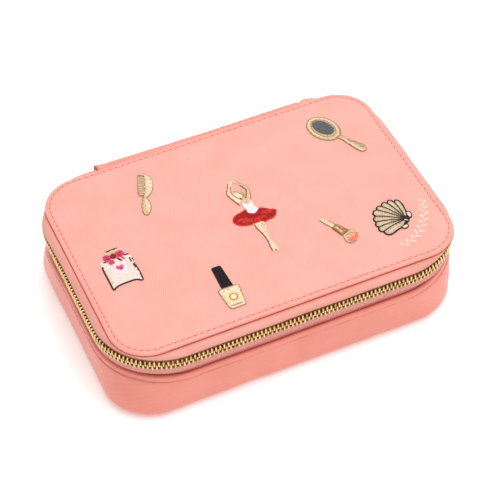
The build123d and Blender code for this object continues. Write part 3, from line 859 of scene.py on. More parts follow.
def tooth_shape():
    """One tooth: x outward, y along the chain, z from its root (0) to its nose (1), bevelled."""
    depth = TOOTH_OUT - TOOTH_IN
    tall = TEETH_HIGH[2] - TEETH_LOW[2]
    rows = ((0.0, 0.34, 0.78), (0.06, 0.52, 0.96), (0.42, 0.55, 1.0), (0.58, 0.42, 0.96), (0.72, 0.46, 0.98),
            (0.90, 0.56, 0.96), (1.0, 0.40, 0.80))
    bevel = 0.22
    verts = []
    for z, half, deep in rows:
        d = depth / 2 * deep
        for x, y in ((d, -half + bevel), (d, half - bevel), (d - bevel, half), (-d + bevel, half),
                     (-d, half - bevel), (-d, -half + bevel), (-d + bevel, -half), (d - bevel, -half)):
            verts.append((x, y, z * tall))
    faces = tube(len(rows), 8)
    faces.append(tuple(reversed(range(8))))
    faces.append(tuple(8 * (len(rows) - 1) + i for i in range(8)))
    return verts, faces


def teeth_row(name, node, body, upper, start, stop):
    """Teeth between two arc lengths, at the CAD teeth's places."""
    shape, shape_faces = tooth_shape()
    shift = TOOTH_PITCH / 2 if upper else 0.0
    last = CHAIN_LEN - MID_R * math.radians(SLIDER_ANGLE - CHAIN_END)
    verts, faces = [], []
    n = 0
    while START_GAP + shift + n * TOOTH_PITCH <= last:
        s = START_GAP + shift + n * TOOTH_PITCH
        n += 1
        if not start <= s < stop:
            continue
        x, y, angle = zip_point(s)
        a = math.radians(angle + random.uniform(-0.8, 0.8))
        lean = random.uniform(-0.03, 0.03)
        base = len(verts)
        for px, py, pz in shape:
            z = TEETH_HIGH[2] - pz if upper else LOWER_LOW[2] + pz
            qy = py + lean * pz if not upper else -py - lean * pz
            verts.append((x + px * math.cos(a) - qy * math.sin(a),
                          y + px * math.sin(a) + qy * math.cos(a), z))
        faces += [tuple(base + i for i in f) for f in shape_faces]
    place(new_object(name, verts, faces, BRASS, smooth=False), body, "zip_brass", node)


CHAIN_LEN = 2 * math.pi * MID_R + 4 * ARC_Y + ARC_RIGHT - ARC_LEFT
CORNER_LEN = MID_R * math.pi / 2
REAR_LEN = MID_R * math.radians(SLIDER_ANGLE + REAR_TEETH)


def all_teeth():
    """Both rows, split where the slider's corner and the slider itself begin."""
    main = CHAIN_LEN - CORNER_LEN
    teeth_row("teeth_lower_main", "zip_teeth_lower", "base", False, 0, main)
    teeth_row("teeth_lower_corner", "zip_teeth_corner_lower", "base", False, main, CHAIN_LEN)
    teeth_row("teeth_upper_main", "zip_teeth_upper", "lid", True, 0, main)
    teeth_row("teeth_upper_corner", "zip_teeth_corner_upper", "lid", True, main, CHAIN_LEN - REAR_LEN)
    teeth_row("teeth_upper_slider", "zip_teeth_slider_upper", "lid", True, CHAIN_LEN - REAR_LEN, CHAIN_LEN)


# ---------------------------------------------------------------- embroidery


def fill(name, region, angle, material, pitch=0.46, stitch=3.2, lift=0.34, level=0.0, jitter=0.10,
         slot="thread_gold"):
    """Fill stitches across a closed outline on the lid, along a direction."""
    c, s = math.cos(math.radians(angle)), math.sin(math.radians(angle))
    turned = [(x * c + y * s, -x * s + y * c) for x, y in region]
    low = min(v for _, v in turned)
    high = max(v for _, v in turned)
    rows = max(1, int((high - low) / pitch))
    made = Strands()
    for r in range(rows):
        v = low + (r + 0.5) * (high - low) / rows
        cuts = []
        for (u0, v0), (u1, v1) in zip(turned, turned[1:] + turned[:1]):
            if (v0 <= v) != (v1 <= v):
                cuts.append(u0 + (u1 - u0) * (v - v0) / (v1 - v0))
        cuts.sort()
        for a, b in zip(cuts[::2], cuts[1::2]):
            a -= random.uniform(0, jitter)
            b += random.uniform(0, jitter)
            marks = [a]
            if b - a > 1.5 * stitch:
                mark = a + stitch * (0.4 + 0.3 * (r % 3))
                while mark < b - 0.5 * stitch:
                    marks.append(mark)
                    mark += stitch
            marks.append(b)
            for p, q in zip(marks, marks[1:]):
                z = TOP_Z + level + random.uniform(-0.02, 0.02)
                made.lay((p * c - v * s, p * s + v * c, z), (q * c - v * s, q * s + v * c, z),
                         pitch * 1.12, lift)
    return finish_patch(made, name, material, slot)


def satin(name, path, width, material, level=0.10, spacing=0.40, slot="thread_gold", lift=0.22):
    """Slanted satin stitches across a line: the corded outlines of the motifs."""
    run = lengths(path)
    made = Strands()
    slant = 0.30
    z = TOP_Z + level
    count = max(2, int(run[-1] / spacing))
    k = 0
    for i in range(count):
        s = (i + 0.5) * run[-1] / count
        while k < len(run) - 2 and run[k + 1] < s:
            k += 1
        (x0, y0), (x1, y1) = path[k][:2], path[k + 1][:2]
        size = max(run[k + 1] - run[k], 1e-6)
        t = (s - run[k]) / size
        x, y = x0 + (x1 - x0) * t, y0 + (y1 - y0) * t
        tx, ty = (x1 - x0) / size, (y1 - y0) / size
        w = width / 2 * random.uniform(0.92, 1.06)
        made.lay((x - ty * w - tx * slant, y + tx * w - ty * slant, z),
                 (x + ty * w + tx * slant, y - tx * w + ty * slant, z), spacing * 1.25, lift)
    return finish_patch(made, name, material, slot)


def finish_patch(made, name, material, slot):
    """Build the stitches and let them ride on the lid."""
    return place(made.build(name, material), "lid", slot)


def ellipse(x, y, a, b, angle=0.0, start=0.0, stop=360.0, count=40):
    """Points of an ellipse or of a part of one, turned by angle."""
    c, s = math.cos(math.radians(angle)), math.sin(math.radians(angle))
    points = []
    for i in range(count):
        t = math.radians(start + (stop - start) * i / (count - 1 if stop - start < 360 else count))
        u, v = a * math.cos(t), b * math.sin(t)
        points.append((x + u * c - v * s, y + u * s + v * c))
    return points


def closed(points):
    """The same points with the first one again at the end."""
    return list(points) + [points[0]]


def comb():
    """Hair brush seen from the side: bristle block, curved back and tapered handle."""
    bristles = ring(-44.8, 57.2, -41.6, 57.0, -41.4, 54.6, -43.2, 49.4, -45.2, 44.2, -46.8, 41.0, -48.4, 40.4,
        -50.0, 42.8, -48.4, 47.6, -46.4, 53.0)
    back = ring(-43.0, 57.6, -40.6, 57.0, -38.9, 54.2, -38.5, 50.4, -39.6, 46.0, -41.8, 42.0, -44.4, 39.6,
        -46.8, 38.7, -47.6, 39.6, -45.8, 42.4, -43.8, 47.0, -42.0, 52.4, -41.4, 55.6)
    handle = ring(-47.4, 39.6, -49.8, 36.0, -51.6, 31.6, -52.3, 27.8, -51.6, 25.4, -50.0, 25.7, -48.0, 28.0,
        -46.5, 31.2, -46.0, 34.8, -46.5, 38.2)
    first = fill("comb_bristles", bristles, -18, TAN, level=-0.02)
    for i in range(11):
        t = i / 10
        x, y = -45.2 - 4.2 * t, 55.8 - 13.2 * t
        satin(f"comb_tooth_{i}", [(x, y), (x + 3.6 - 0.4 * t, y - 1.5)], 0.62, CREAM, 0.18)
    fill("comb_back", back, 75, IVORY, level=0.05)
    fill("comb_back_shade", ring(-41.8, 55.0, -40.9, 52.0, -42.0, 47.0, -44.4, 42.6, -46.4, 40.0, -46.0, 42.4,
        -44.0, 47.4, -42.4, 52.0), 75, CREAM, level=0.12)
    fill("comb_handle", handle, 68, CREAM, level=0.05)
    fill("comb_handle_light", ring(-46.9, 38.0, -48.8, 33.0, -49.6, 28.6, -49.0, 27.4, -47.4, 30.4, -46.4,
        34.6), 68, IVORY, level=0.12)
    satin("comb_spine", bend(-41.3, 56.4, -42.0, 52.8, -43.6, 48.0, -45.3, 43.6, -46.8, 40.8, -48.2, 38.9),
        0.8, BROWN, 0.22, spacing=0.3)
    satin("comb_handle_edge", bend(-47.6, 39.6, -49.9, 35.8, -51.6, 31.4, -52.3, 27.6, -51.5, 25.5),
        0.9, TAN, 0.16)
    satin("comb_back_edge", bend(-44.8, 57.4, -41.2, 57.5, -39.0, 54.6, -38.4, 50.6, -39.5, 45.8, -41.8, 41.8,
        -44.4, 39.4, -46.2, 38.6, -45.9, 34.6, -46.5, 31.0, -48.0, 27.8, -50.0, 25.5, -51.4, 25.3),
        0.42, TAN, 0.12)
    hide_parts("patch_comb")


def perfume():
    """Square scent bottle with a bow at its neck."""
    body = ring(-88.8, 0.6, -87.6, 2.4, -80.0, 2.8, -72.6, 2.0, -71.2, 0.4, -71.0, -10.0, -71.2, -19.4, -72.2,
        -19.8, -75.0, -18.4, -80.0, -17.9, -85.6, -18.8, -88.2, -20.2, -88.9, -19.2, -89.0, -9.0, steps=4)
    first = fill("bottle_glass", body, 90, PAPER, level=-0.02, slot="thread_white")
    fill("bottle_neck", [(-84.2, 4.0), (-84.2, 8.2), (-75.4, 8.4), (-75.2, 4.0)],
        0, CREAM, slot="thread_white")
    fill("bottle_label", [(-83.2, -10.6), (-83.2, -2.0), (-76.2, -2.0), (-76.2, -10.6)],
        0, CLEAR, level=0.14, slot="thread_white")
    heart = ring(-79.8, -8.6, -81.9, -6.2, -81.6, -4.5, -80.4, -4.2, -79.7, -5.2, -78.9, -4.1, -77.6, -4.5,
        -77.5, -6.2)
    fill("bottle_heart", heart, 60, PINK, level=0.3, slot="thread_pink")
    satin("bottle_left", bend(-88.6, -1.6, -88.9, -6.0, -88.9, -14.0, -88.9, -19.4, -88.2, -20.3),
        1.0, DARK, 0.18)
    satin("bottle_foot", bend(-88.4, -20.3, -86.6, -18.9, -83.0, -18.1, -78.0, -17.9, -74.4, -18.3, -72.4,
        -19.8, -71.4, -19.8), 0.95, DARK, 0.2)
    for part, path, width, level in (
        ("right", [(-71.2, -19.8), (-70.9, -14.0), (-71.1, -9.0)], 0.9, 0.18),
        ("right_mid", [(-71.6, -9.6), (-71.6, -6.0)], 1.7, 0.16),
        ("right_top", [(-72.4, -4.8), (-72.3, -1.0)], 0.9, 0.16),
        ("right_dash", [(-71.0, -4.6), (-71.0, -1.8)], 0.7, 0.14),
        ("shoulder_left", [(-87.3, 1.1), (-85.6, 1.1)], 1.2, 0.2),
        ("shoulder_right", [(-74.4, 1.6), (-71.6, 1.8)], 1.1, 0.2),
        ("stopper", [(-83.2, 8.3), (-79.0, 8.6), (-75.8, 8.6)], 1.0, 0.2),
    ):
        satin(f"bottle_{part}", path, width, DARK, level)
    satin("bottle_shade", [(-87.4, -5.0), (-87.6, -11.0), (-87.4, -17.0)], 0.5, CREAM, 0.22)
    bow = fill("bow_left", ring(-80.6, 3.4, -83.0, 5.9, -85.6, 5.4, -86.0, 2.4, -85.2, 0.2, -82.6, 1.2),
        28, PINK, level=0.26, slot="thread_pink")
    fill("bow_right", ring(-79.8, 3.6, -77.4, 6.2, -74.6, 5.8, -73.6, 3.4, -74.8, 1.6, -77.6, 1.6),
        -28, PINK, level=0.26, slot="thread_pink")
    fill("bow_tail_left", ring(-82.6, 1.2, -84.6, -0.8, -83.4, -2.4, -81.6, -2.2, -80.8, 0.8),
        60, PINK, level=0.24, slot="thread_pink")
    fill("bow_tail_mid", [(-79.4, 1.6), (-77.4, -2.0), (-76.4, -1.4), (-77.8, 1.6)],
        55, CRIMSON, level=0.24, slot="thread_pink")
    fill("bow_tail_right", [(-77.6, 1.8), (-75.2, -1.0), (-74.4, -0.4), (-76.2, 2.0)],
        50, PINK, level=0.22, slot="thread_pink")
    fill("bow_knot", ellipse(-80.2, 3.4, 1.7, 2.2), 90, CRIMSON, level=0.45, slot="thread_pink")
    creases = ([(-85.2, 4.6), (-83.0, 3.4)], [(-85.4, 2.6), (-82.6, 2.4)],
        [(-75.0, 5.0), (-77.6, 3.8)], [(-74.6, 3.0), (-77.4, 2.8)])
    for i, path in enumerate(creases):
        satin(f"bow_crease_{i}", path, 0.5, CRIMSON, 0.42, slot="thread_pink")
    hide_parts("patch_perfume")
    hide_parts("patch_bow")


def varnish():
    """Nail varnish: black cap over a bevelled bottle."""
    cap = fill("varnish_cap", [(-34.2, -29.5), (-33.6, -28.9), (-29.8, -28.9), (-29.1, -29.6), (-28.3, -45.6),
        (-34.8, -45.6)], 90, BLACK, slot="thread_black", level=0.05)
    satin("varnish_cap_edge", [(-34.2, -29.5), (-33.6, -29.0), (-29.8, -29.0), (-29.1, -29.6),
        (-28.4, -45.4)], 0.5, BLACK, 0.2, slot="thread_black")
    satin("varnish_cap_side", [(-34.2, -29.5), (-34.7, -45.4)], 0.5, BLACK, 0.2, slot="thread_black")
    bottle = [(-37.5, -46.4), (-36.2, -45.6), (-26.4, -45.8), (-25.3, -46.4), (-26.7, -59.6), (-27.5, -61.1),
        (-35.4, -61.1), (-36.5, -58.6)]
    first = fill("varnish_glass", bottle, 90, IVORY, level=-0.02)
    fill("varnish_light", [(-35.4, -47.2), (-27.0, -47.2), (-28.0, -58.4), (-35.0, -58.4)],
        90, IVORY, level=0.08)
    fill("varnish_halo", ellipse(-31.4, -53.3, 4.0, 4.4), 90, STRAW, level=0.18)
    fill("varnish_middle", ellipse(-31.3, -53.5, 1.9, 1.9), 0, IVORY, level=0.3)
    satin("varnish_ring", closed(ellipse(-31.3, -53.5, 2.2, 2.3)), 0.9, OCHRE, 0.36)
    satin("varnish_halo_ring", closed(ellipse(-31.4, -53.3, 4.0, 4.4)), 0.4, STRAW, 0.24)
    satin("varnish_foot", [(-35.0, -59.2), (-28.5, -59.0)], 0.8, TAN, 0.24)
    satin("varnish_edge", closed(bottle), 0.5, TAN, 0.16)
    satin("varnish_dot", [(-32.2, -47.2), (-31.3, -47.2)], 0.8, BROWN, 0.24)
    satin("varnish_dot_left", [(-35.2, -48.0), (-34.0, -48.0)], 0.7, TAN, 0.22)
    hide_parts("patch_varnish_cap")
    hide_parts("patch_varnish_bottle")


def hand_mirror():
    """Oval hand mirror with a beaded frame and a handle that widens to its end."""
    tilt = -68.0
    cx, cy = 69.8, 45.7
    handle = ring(73.9, 35.6, 75.6, 32.6, 77.6, 27.4, 79.6, 22.0, 81.4, 18.8, 83.4, 18.2, 85.2, 19.8, 85.2,
        22.8, 83.2, 26.0, 80.4, 29.6, 78.4, 32.4, 76.9, 35.8)
    first = fill("mirror_frame_threads", ellipse(cx, cy, 11.6, 8.3, tilt), 22, CREAM, level=-0.02)
    fill("mirror_handle_threads", handle, -62, CREAM, level=0.02)
    fill("mirror_handle_shade", ring(78.2, 32.0, 81.4, 27.6, 84.6, 23.6, 85.1, 20.6, 83.6, 20.8, 81.4, 25.6,
        78.8, 29.6), -62, TAN, level=0.1)
    fill("mirror_handle_light", ring(76.2, 33.2, 78.6, 28.0, 81.0, 22.6, 82.4, 19.6, 81.4, 19.6, 79.0, 24.4,
        77.0, 29.4), -62, IVORY, level=0.14)
    glass = []
    for i in range(72):
        t = math.tau * i / 72
        wobble = 1.0 + 0.075 * (1 if i % 2 else -1)
        glass.append((7.3 * wobble * math.cos(t), 4.8 * wobble * math.sin(t)))
    c, s = math.cos(math.radians(tilt)), math.sin(math.radians(tilt))
    glass = [(69.8 + u * c - v * s, 46.5 + u * s + v * c) for u, v in glass]
    fill("mirror_glass_threads", glass, 70, SLATE, level=0.38)
    rings = ((11.5, 8.2, TAN, 0.6, 0.16), (10.2, 6.9, IVORY, 1.0, 0.2), (8.5, 5.9, TAN, 0.45, 0.18))
    for i, (a, b, material, width, level) in enumerate(rings):
        satin(f"mirror_ring_{i}", closed(ellipse(cx, cy + 0.2 * i, a, b, tilt, count=72)),
            width, material, level, spacing=0.5)
    for i in range(44):
        t = math.tau * i / 44
        u0, v0, u1, v1 = 9.6 * math.cos(t), 6.6 * math.sin(t), 11.4 * math.cos(t), 8.1 * math.sin(t)
        if i % 2:
            satin(f"mirror_bead_{i}", [(cx + u0 * c - v0 * s, cy + u0 * s + v0 * c),
                (cx + u1 * c - v1 * s, cy + u1 * s + v1 * c)], 0.55, TAN, 0.24)
    satin("mirror_crescent", ellipse(cx + 0.2, cy + 0.6, 10.4, 7.2, tilt, -70, 60), 1.5, GOLD, 0.22)
    satin("mirror_handle_edge", closed(handle), 0.6, TAN, 0.18)
    satin("mirror_handle_line", bend(75.9, 32.0, 77.9, 26.8, 79.8, 21.6, 81.6, 18.8), 0.55, BROWN, 0.2)
    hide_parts("patch_mirror")


def make_up_brush():
    """Soft brush: pale handle, golden ferrule and a coral tip."""
    first = fill("brush_handle", [(35.4, -21.0), (37.6, -19.9), (41.8, -28.2), (39.6, -29.8)],
        -64, IVORY, level=0.02)
    fill("brush_ferrule", [(39.6, -29.6), (42.6, -28.0), (46.4, -35.2), (45.8, -36.2), (42.2, -37.8),
        (41.4, -36.2)], -64, OCHRE, level=0.06)
    fill("brush_ferrule_light", [(40.6, -30.4), (41.8, -29.8), (44.0, -35.6), (42.8, -36.2)],
        -64, CREAM, level=0.14)
    head = ring(42.4, -37.8, 42.1, -42.0, 43.2, -44.4, 45.2, -45.0, 48.0, -44.0, 50.8, -41.4, 51.4, -39.0,
        50.2, -36.6, 48.6, -35.6, 46.0, -36.2)
    fill("brush_hair", head, -60, CREAM, level=0.02)
    fill("brush_tip", ring(43.0, -41.6, 44.0, -44.2, 46.4, -44.7, 49.2, -43.0, 51.0, -40.2, 50.0, -38.6, 48.4,
        -40.2, 45.6, -41.2), -55, CORAL, level=0.14)
    for i, path in enumerate((((47.6, -41.0), (45.0, -38.8)), ((49.6, -39.6), (47.0, -37.8)), ((45.2, -42.2),
        (43.8, -39.8)))):
        satin(f"brush_streak_{i}", list(path), 0.8, CORAL, 0.18)
    satin("brush_hair_shade", [(43.6, -38.6), (47.4, -37.4)], 1.1, TAN, 0.14)
    satin("brush_edge", bend(42.4, -37.8, 42.1, -42.0, 43.2, -44.4, 45.2, -45.0, 48.0, -44.0),
        0.55, TAN, 0.16)
    satin("brush_edge_right", bend(46.2, -36.0, 48.8, -35.6, 50.4, -37.0), 0.6, TAN, 0.16)
    satin("brush_ferrule_left", [(39.3, -29.6), (42.0, -37.4)], 0.9, BROWN, 0.18)
    satin("brush_ferrule_right", [(43.0, -28.8), (46.4, -35.4)], 1.5, TAN, 0.16)
    satin("brush_ferrule_dark", [(45.2, -33.4), (46.8, -35.8)], 1.0, BROWN, 0.22)
    satin("brush_collar", [(46.8, -35.8), (44.2, -37.0), (42.4, -37.6)], 0.6, BROWN, 0.2)
    satin("brush_handle_left", [(35.3, -21.2), (37.2, -25.6), (39.4, -29.8)], 0.55, TAN, 0.14)
    satin("brush_handle_right", [(37.6, -19.9), (39.8, -24.0), (42.2, -28.2)], 0.5, TAN, 0.14)
    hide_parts("patch_brush")


def scallop():
    """Scallop shell: fanned ribs that meet at the hinge, and two small ears."""
    hinge = (79.9, -42.0)
    edge = ring(82.4, -37.4, 83.2, -30.6, 82.4, -27.0, 81.0, -26.0, 79.9, -27.2, 78.8, -25.0, 77.2, -24.6,
        75.9, -26.2, 74.6, -25.0, 73.0, -25.2, 71.9, -26.8, 70.2, -26.3, 68.8, -27.0, 68.3, -28.5, 66.4,
        -28.5, 64.9, -30.4, 65.3, -32.4, 63.6, -33.8, 63.2, -35.6, 63.7, -36.8, 62.5, -38.4, 62.7, -40.2,
        63.6, -41.0, 62.5, -42.4, 62.9, -44.4, 64.2, -45.4, 64.6, -47.4, 66.4, -48.9, 68.6, -48.7, 72.0,
        -47.4, 76.2, -46.2, 79.8, -44.0, steps=4)
    first = fill("shell_fill", edge, 38, SHELL, level=-0.02)
    valleys = ((79.9, -27.2), (76.0, -26.4), (72.0, -27.0), (68.5, -28.8), (65.4, -32.6), (63.8, -36.9),
        (63.8, -41.0), (64.4, -45.3))
    tips = ((81.4, -27.4), (77.8, -26.2), (73.8, -26.6), (70.2, -27.8), (66.6, -30.2), (64.6, -34.6),
        (63.9, -38.9), (63.9, -43.0), (66.4, -47.2))
    for i, (x, y) in enumerate(tips):
        mx, my = x * 0.55 + hinge[0] * 0.45, y * 0.55 + hinge[1] * 0.45
        satin(f"shell_light_{i}", [(x, y), (mx, my)], 1.3, CREAM, 0.1, spacing=0.5)
    for i, (x, y) in enumerate(valleys):
        bow = (hinge[0] * 0.4 + x * 0.6 + (0.5 if i < 4 else 0.0),
            hinge[1] * 0.4 + y * 0.6 + (0.7 if i > 3 else 0.3))
        satin(f"shell_rib_shade_{i}", smooth_path([(x, y), bow, hinge]), 1.5, TAN, 0.14)
        satin(f"shell_rib_{i}", smooth_path([(x, y), bow, hinge]), 0.8, DARK, 0.24)
    satin("shell_edge", closed(edge), 0.95, DARK, 0.22)
    for i, (x, y, a, b, angle) in enumerate(((83.1, -39.4, 2.4, 1.3, 80), (77.0, -46.9, 1.9, 1.3, 15))):
        fill(f"shell_ear_{i}", ellipse(x, y, a, b, angle), 60, IVORY, level=0.1)
        satin(f"shell_ear_edge_{i}", closed(ellipse(x, y, a, b, angle)), 0.75, DARK, 0.24)
    fill("shell_hinge", ring(82.0, -39.4, 82.2, -42.0, 80.2, -44.6, 77.0, -45.2, 78.4, -43.0, 79.6, -40.4),
        50, BLACK, level=0.3)
    satin("shell_hinge_light", [(78.8, -42.2), (80.4, -43.6)], 0.8, CREAM, 0.5)
    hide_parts("patch_shell")


def dancer():
    """Embroidered ballerina: arms raised in a ring over her head, white bodice, red tutu, feet together."""
    legs = ring(0.8, -7.0, 1.0, -11.0, 2.0, -16.0, 2.7, -20.0, 2.7, -24.0, 2.3, -28.0, 2.1, -31.4, 3.0, -31.8,
        4.0, -30.9, 4.8, -32.2, 5.8, -31.6, 5.4, -28.6, 4.7, -25.0, 4.5, -21.6, 5.2, -18.0, 6.1, -13.0, 6.4,
        -7.6, steps=4)
    first = fill("dancer_legs", legs, 86, IVORY, level=0.0)
    fill("dancer_leg_shade", ring(4.4, -8.0, 4.6, -14.0, 4.2, -20.0, 4.6, -20.0, 5.6, -14.0, 5.8, -8.0),
        86, CREAM, level=0.1)
    satin("dancer_leg_edge", bend(0.9, -7.6, 1.2, -12.0, 2.1, -16.0, 2.7, -20.0, 2.7, -24.0, 2.2, -28.0, 2.1,
        -31.4), 0.5, BROWN, 0.16)
    satin("dancer_leg_right", bend(6.4, -8.4, 6.1, -13.0, 5.2, -18.0, 4.5, -22.0, 4.9, -26.0, 5.6, -29.4, 5.8,
        -31.6), 0.45, CREAM, 0.16)
    satin("dancer_shoe_gap", [(4.0, -30.6), (4.0, -32.0)], 0.5, TAN, 0.2)
    left = ring(1.6, 11.6, -0.6, 10.6, -2.0, 14.0, -3.4, 18.6, -3.4, 20.8, -1.4, 24.8, 0.4, 28.0, 1.2, 29.2,
        3.2, 29.0, 3.0, 27.6, 1.4, 26.6, -0.2, 24.0, -1.2, 21.0, -0.8, 18.0, 0.8, 14.8, 2.0, 13.0, steps=4)
    right = ring(5.2, 10.8, 5.2, 12.8, 6.4, 15.6, 7.6, 18.8, 7.0, 21.6, 5.4, 25.0, 3.4, 27.4, 3.4, 28.8, 5.2,
        28.2, 7.2, 25.0, 9.0, 21.4, 9.5, 19.0, 8.8, 15.6, 7.6, 12.2, 6.8, 10.4, steps=4)
    fill("dancer_arm_left", left, 72, IVORY, level=0.02)
    fill("dancer_arm_right", right, -72, CREAM, level=0.02)
    satin("dancer_arm_left_edge", bend(-0.6, 9.2, -1.9, 13.4, -3.3, 18.0, -3.5, 20.6, -1.6, 24.4, 0.3, 27.9),
        0.45, BROWN, 0.16)
    satin("dancer_arm_left_inner", bend(2.0, 12.6, 0.6, 15.2, -0.7, 18.6, -0.9, 21.6, 0.6, 25.2),
        0.5, TAN, 0.16)
    satin("dancer_arm_right_edge", bend(7.4, 11.2, 8.8, 15.4, 9.5, 19.0, 8.9, 21.6, 7.2, 24.8, 5.0, 28.2),
        0.45, TAN, 0.16)
    satin("dancer_arm_right_inner", bend(5.2, 12.8, 6.6, 16.0, 7.8, 19.0, 7.0, 21.8, 6.0, 24.2),
        0.42, BROWN, 0.18)
    fill("dancer_chest", [(0.6, 9.6), (2.4, 13.0), (5.0, 13.0), (7.0, 10.0), (4.2, 7.4)],
        90, CREAM, level=0.06)
    satin("dancer_neck", [(2.2, 14.4), (2.6, 12.6)], 0.6, BROWN, 0.16)
    satin("dancer_neck_right", [(4.8, 14.2), (5.2, 12.8)], 0.5, TAN, 0.16)
    fill("dancer_face", ellipse(1.9, 17.2, 2.0, 3.2, 24), 66, IVORY, level=0.1)
    fill("dancer_hair", ring(0.8, 20.8, 3.2, 20.6, 5.0, 18.4, 5.4, 15.8, 4.2, 14.8, 3.4, 16.6, 2.0, 18.6, 0.6,
        19.6), 40, GOLD, level=0.2)
    fill("dancer_hair_light", ring(1.6, 20.4, 3.4, 19.6, 4.6, 17.4, 4.4, 16.6, 3.2, 18.2, 1.8, 19.4),
        40, CREAM, level=0.32)
    bodice = ring(1.4, 10.2, 1.0, 7.4, 1.5, 4.6, 1.2, 2.2, 2.4, 0.4, 4.6, -0.6, 6.6, 0.4, 8.1, 2.2, 7.2, 4.2,
        6.8, 6.8, 7.1, 9.9, 6.0, 9.2, 4.4, 8.0, 2.8, 9.0, steps=4)
    fill("dancer_bodice", bodice, 88, WHITE, level=0.22, slot="thread_white")
    tutu = ring(1.0, 4.2, -2.0, 3.4, -5.4, 2.7, -7.8, 1.0, -8.8, -1.4, -7.8, -4.0, -5.6, -6.0, -2.0, -7.2,
        2.2, -7.6, 5.6, -7.8, 7.2, -8.7, 9.6, -8.1, 12.6, -7.8, 15.0, -6.3, 16.4, -3.6, 15.8, -2.2, 13.8,
        -1.4, 12.0, 0.4, 10.2, 1.6, 8.2, 2.3, 6.9, 1.0, 4.6, -0.4, 2.2, 0.8, 1.2, 2.2, steps=4)
    skirt = fill("dancer_tutu", tutu, 80, RED, level=0.12, stitch=2.2, slot="thread_red")
    made = Strands()
    waist = Vector((4.6, 0.6))
    for _ in range(150):
        angle = math.radians(random.uniform(160, 385))
        x = 4.0 + 12.0 * math.cos(angle) * random.uniform(0.45, 1.0)
        y = -2.6 + 4.8 * math.sin(angle) * random.uniform(0.55, 1.0)
        if not inside((x, y), tutu):
            continue
        run = (Vector((x, y)) - waist).normalized() * random.uniform(1.2, 2.4)
        end = x - run.x, y - run.y
        if inside(end, tutu):
            made.lay((*end, TOP_Z + 0.3), (x, y, TOP_Z + 0.3), 0.5, 0.3)
    finish_patch(made, "dancer_tutu_ruffle", RED_LIGHT, "thread_red")
    satin("dancer_tutu_edge", closed(tutu), 0.8, RED_LIGHT, 0.22, slot="thread_red")
    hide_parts("patch_dancer_body")
    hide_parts("patch_dancer_tutu")


def inside(point, region):
    """Whether a point lies in a closed outline."""
    x, y = point
    odd = False
    for (x0, y0), (x1, y1) in zip(region, region[1:] + region[:1]):
        if (y0 > y) != (y1 > y) and x < x0 + (x1 - x0) * (y - y0) / (y1 - y0):
            odd = not odd
    return odd


def sprig():
    """Plain sprig of leaves pressed in pale foil along the right front corner."""
    stem = bend(67.0, -59.6, 73.0, -58.2, 79.6, -55.2, 85.2, -50.6, 90.0, -44.4, 93.2, -37.6, 94.8, -31.6,
        steps=10)
    verts, faces = [], []

    def blade(points):
        """One flat piece of foil."""
        base = len(verts)
        verts.extend((x, y, TOP_Z + 0.05) for x, y in points)
        faces.append(tuple(base + i for i in range(len(points))))

    run = lengths(stem)
    for i in range(len(stem) - 1):
        (x0, y0), (x1, y1) = stem[i], stem[i + 1]
        d = math.dist(stem[i], stem[i + 1])
        nx, ny = -(y1 - y0) / d * 0.16, (x1 - x0) / d * 0.16
        blade([(x0 - nx, y0 - ny), (x1 - nx, y1 - ny), (x1 + nx, y1 + ny), (x0 + nx, y0 + ny)])
    for i in range(3, len(stem) - 2, 3):
        (x0, y0), (x1, y1) = stem[i], stem[i + 1]
        heading = math.degrees(math.atan2(y1 - y0, x1 - x0))
        side = 1 if i // 3 % 2 else -1
        a = math.radians(heading + side * 48)
        size = 1.5 + 0.5 * math.sin(math.pi * run[i] / run[-1])
        blade(ellipse(x0 + size * math.cos(a), y0 + size * math.sin(a), size, 0.55, math.degrees(a),
            count=14))
    obj = new_object("foil_leaves", verts, faces, FOIL, smooth=False)
    place(obj, "lid", "foil", "foil_sprig")


# ---------------------------------------------------------------- inside


def ring_rolls():
    """Three padded velvet rolls with a lengthwise seam; rings stand in the slots between them."""
    low, high = node_box("ring_rolls")
    radius = 7.6
    pitch = 16.0
    end = 3.0                           # the ends are rounded over this length
    around = 36
    steps = 60
    middle = (low[0] + high[0]) / 2
    for n in range(3):
        cx = middle + pitch * (n - 1)
        cz = high[2] - radius
        verts, uvs = [], []
        for i in range(steps + 1):
            t = i / steps
            y = low[1] + (high[1] - low[1]) * t
            edge = min(t, 1 - t) * (high[1] - low[1])
            taper = 1.0 if edge > end else math.sqrt(max(0.0, 1 - (1 - edge / end) ** 2)) * 0.35 + 0.65
            for k in range(around):
                a = math.tau * k / around
                soft = 1 + 0.012 * noise.noise(Vector((y * 0.12, math.cos(a) * 2, n * 7.0)))
                seam = 0.03 * math.exp(-((k - 4 * around / 9) / 0.8) ** 2)
                r = radius * taper * (soft - seam) * 0.99
                verts.append((cx + r * math.cos(a), y, max(cz + r * math.sin(a), low[2])))
                uvs.append((y, a * radius))
        faces = tube(steps + 1, around)
        faces.append(tuple(reversed(range(around))))
        faces.append(tuple(steps * around + k for k in range(around)))
        obj = new_object(f"ring_roll_{n + 1}", verts, faces, VELVET, uvs)
        place(obj, "base", "velvet", *(("ring_rolls",) if n == 0 else ()))


def paint_nodes():
    """Finish the CAD nodes that keep their shape."""
    for node in ("base_lining", "divider_left", "divider_right", "divider_cross", "roll_bed", "lid_lining",
                 "mirror_frame"):
        paint(node, VELVET)
    paint("lid_board", BOARD)
    paint("lid_mirror", MIRROR)
    for node in ("zip_slider", "zip_pull", "zip_stop"):
        paint(node, BRASS_BRIGHT)


# ---------------------------------------------------------------- build everything
base_leather()
top_leather()
lid_gusset_leather()
base_gusset_leather()
tapes()
seam_shadow_cord()
spine_leather()
all_stitches()
all_teeth()
comb()
perfume()
varnish()
hand_mirror()
make_up_brush()
scallop()
dancer()
sprig()
ring_rolls()
paint_nodes()

# ---------------------------------------------------------------- floor, light and camera


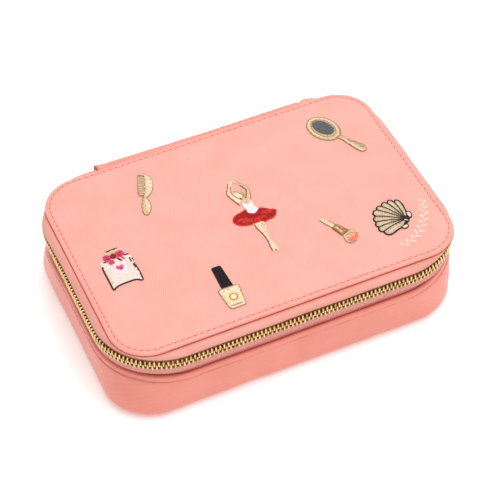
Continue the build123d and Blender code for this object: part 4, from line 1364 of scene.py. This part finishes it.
def studio():
    """Pale floor and world, a soft key from the front right and a weaker light behind."""
    paper = Nodes("floor_paper")
    where = paper.coordinate("Object")
    grain = paper.noise(where, 60.0, 3.0)
    paper.feed("Base Color", paper.mix(grain, (0.90, 0.895, 0.89), (0.93, 0.925, 0.92)))
    paper.feed("Roughness", 0.9)
    paper.feed("Specular IOR Level", 0.1)
    paper.feed("Emission Color", (1.0, 0.99, 0.985, 1))
    paper.feed("Emission Strength", 0.22)
    size = 4000.0
    level = 0.03                        # a hair above the underside, so that the two do not coincide
    corners = [(-size, -size, level), (size, -size, level), (size, size, level), (-size, size, level)]
    floor = new_object("floor", corners, [(0, 1, 2, 3)], paper.material, smooth=False)

    world = bpy.data.worlds.new("studio")
    bpy.context.scene.world = world
    world.use_nodes = True
    world.node_tree.nodes["Background"].inputs["Color"].default_value = 1.0, 0.99, 0.985, 1
    world.node_tree.nodes["Background"].inputs["Strength"].default_value = 0.72

    def area(name, place_m, aim_m, watts, width):
        light = bpy.data.lights.new(name, "AREA")
        light.energy = watts
        light.size = width
        obj = bpy.data.objects.new(name, light)
        obj.location = place_m
        obj.rotation_euler = (Vector(aim_m) - Vector(place_m)).to_track_quat("-Z", "Y").to_euler()
        bpy.context.scene.collection.objects.link(obj)

    area("key_softbox", (0.22, -0.38, 1.5), (0, 0, 0), 13.5, 1.1)
    area("rear_softbox", (0.5, 1.0, 1.2), (0, 0, 0), 6.0, 1.0)


def camera():
    """Long lens from the front left, looking down, rolled a little."""
    azimuth = math.radians(-21.26)
    elevation = math.radians(47.0)
    roll = math.radians(-3.36)
    distance = 1.0893
    aim = Vector((0.0047, 0.0104, 0.0106))
    back = Vector((math.sin(azimuth) * math.cos(elevation), -math.cos(azimuth) * math.cos(elevation),
                   math.sin(elevation)))
    right = Vector((math.cos(azimuth), math.sin(azimuth), 0))
    up = back.cross(right)
    right, up = right * math.cos(roll) + up * math.sin(roll), up * math.cos(roll) - right * math.sin(roll)
    data = bpy.data.cameras.new("camera")
    data.lens = 133.05
    data.sensor_width = 36.0
    obj = bpy.data.objects.new("camera", data)
    turn = Matrix((right, up, back)).transposed().to_4x4()
    obj.matrix_world = Matrix.Translation(aim + back * distance) @ turn
    bpy.context.scene.collection.objects.link(obj)
    bpy.context.scene.camera = obj


studio()
camera()
bpy.context.scene.view_settings.view_transform = "Standard"
bpy.context.scene.view_settings.look = "None"
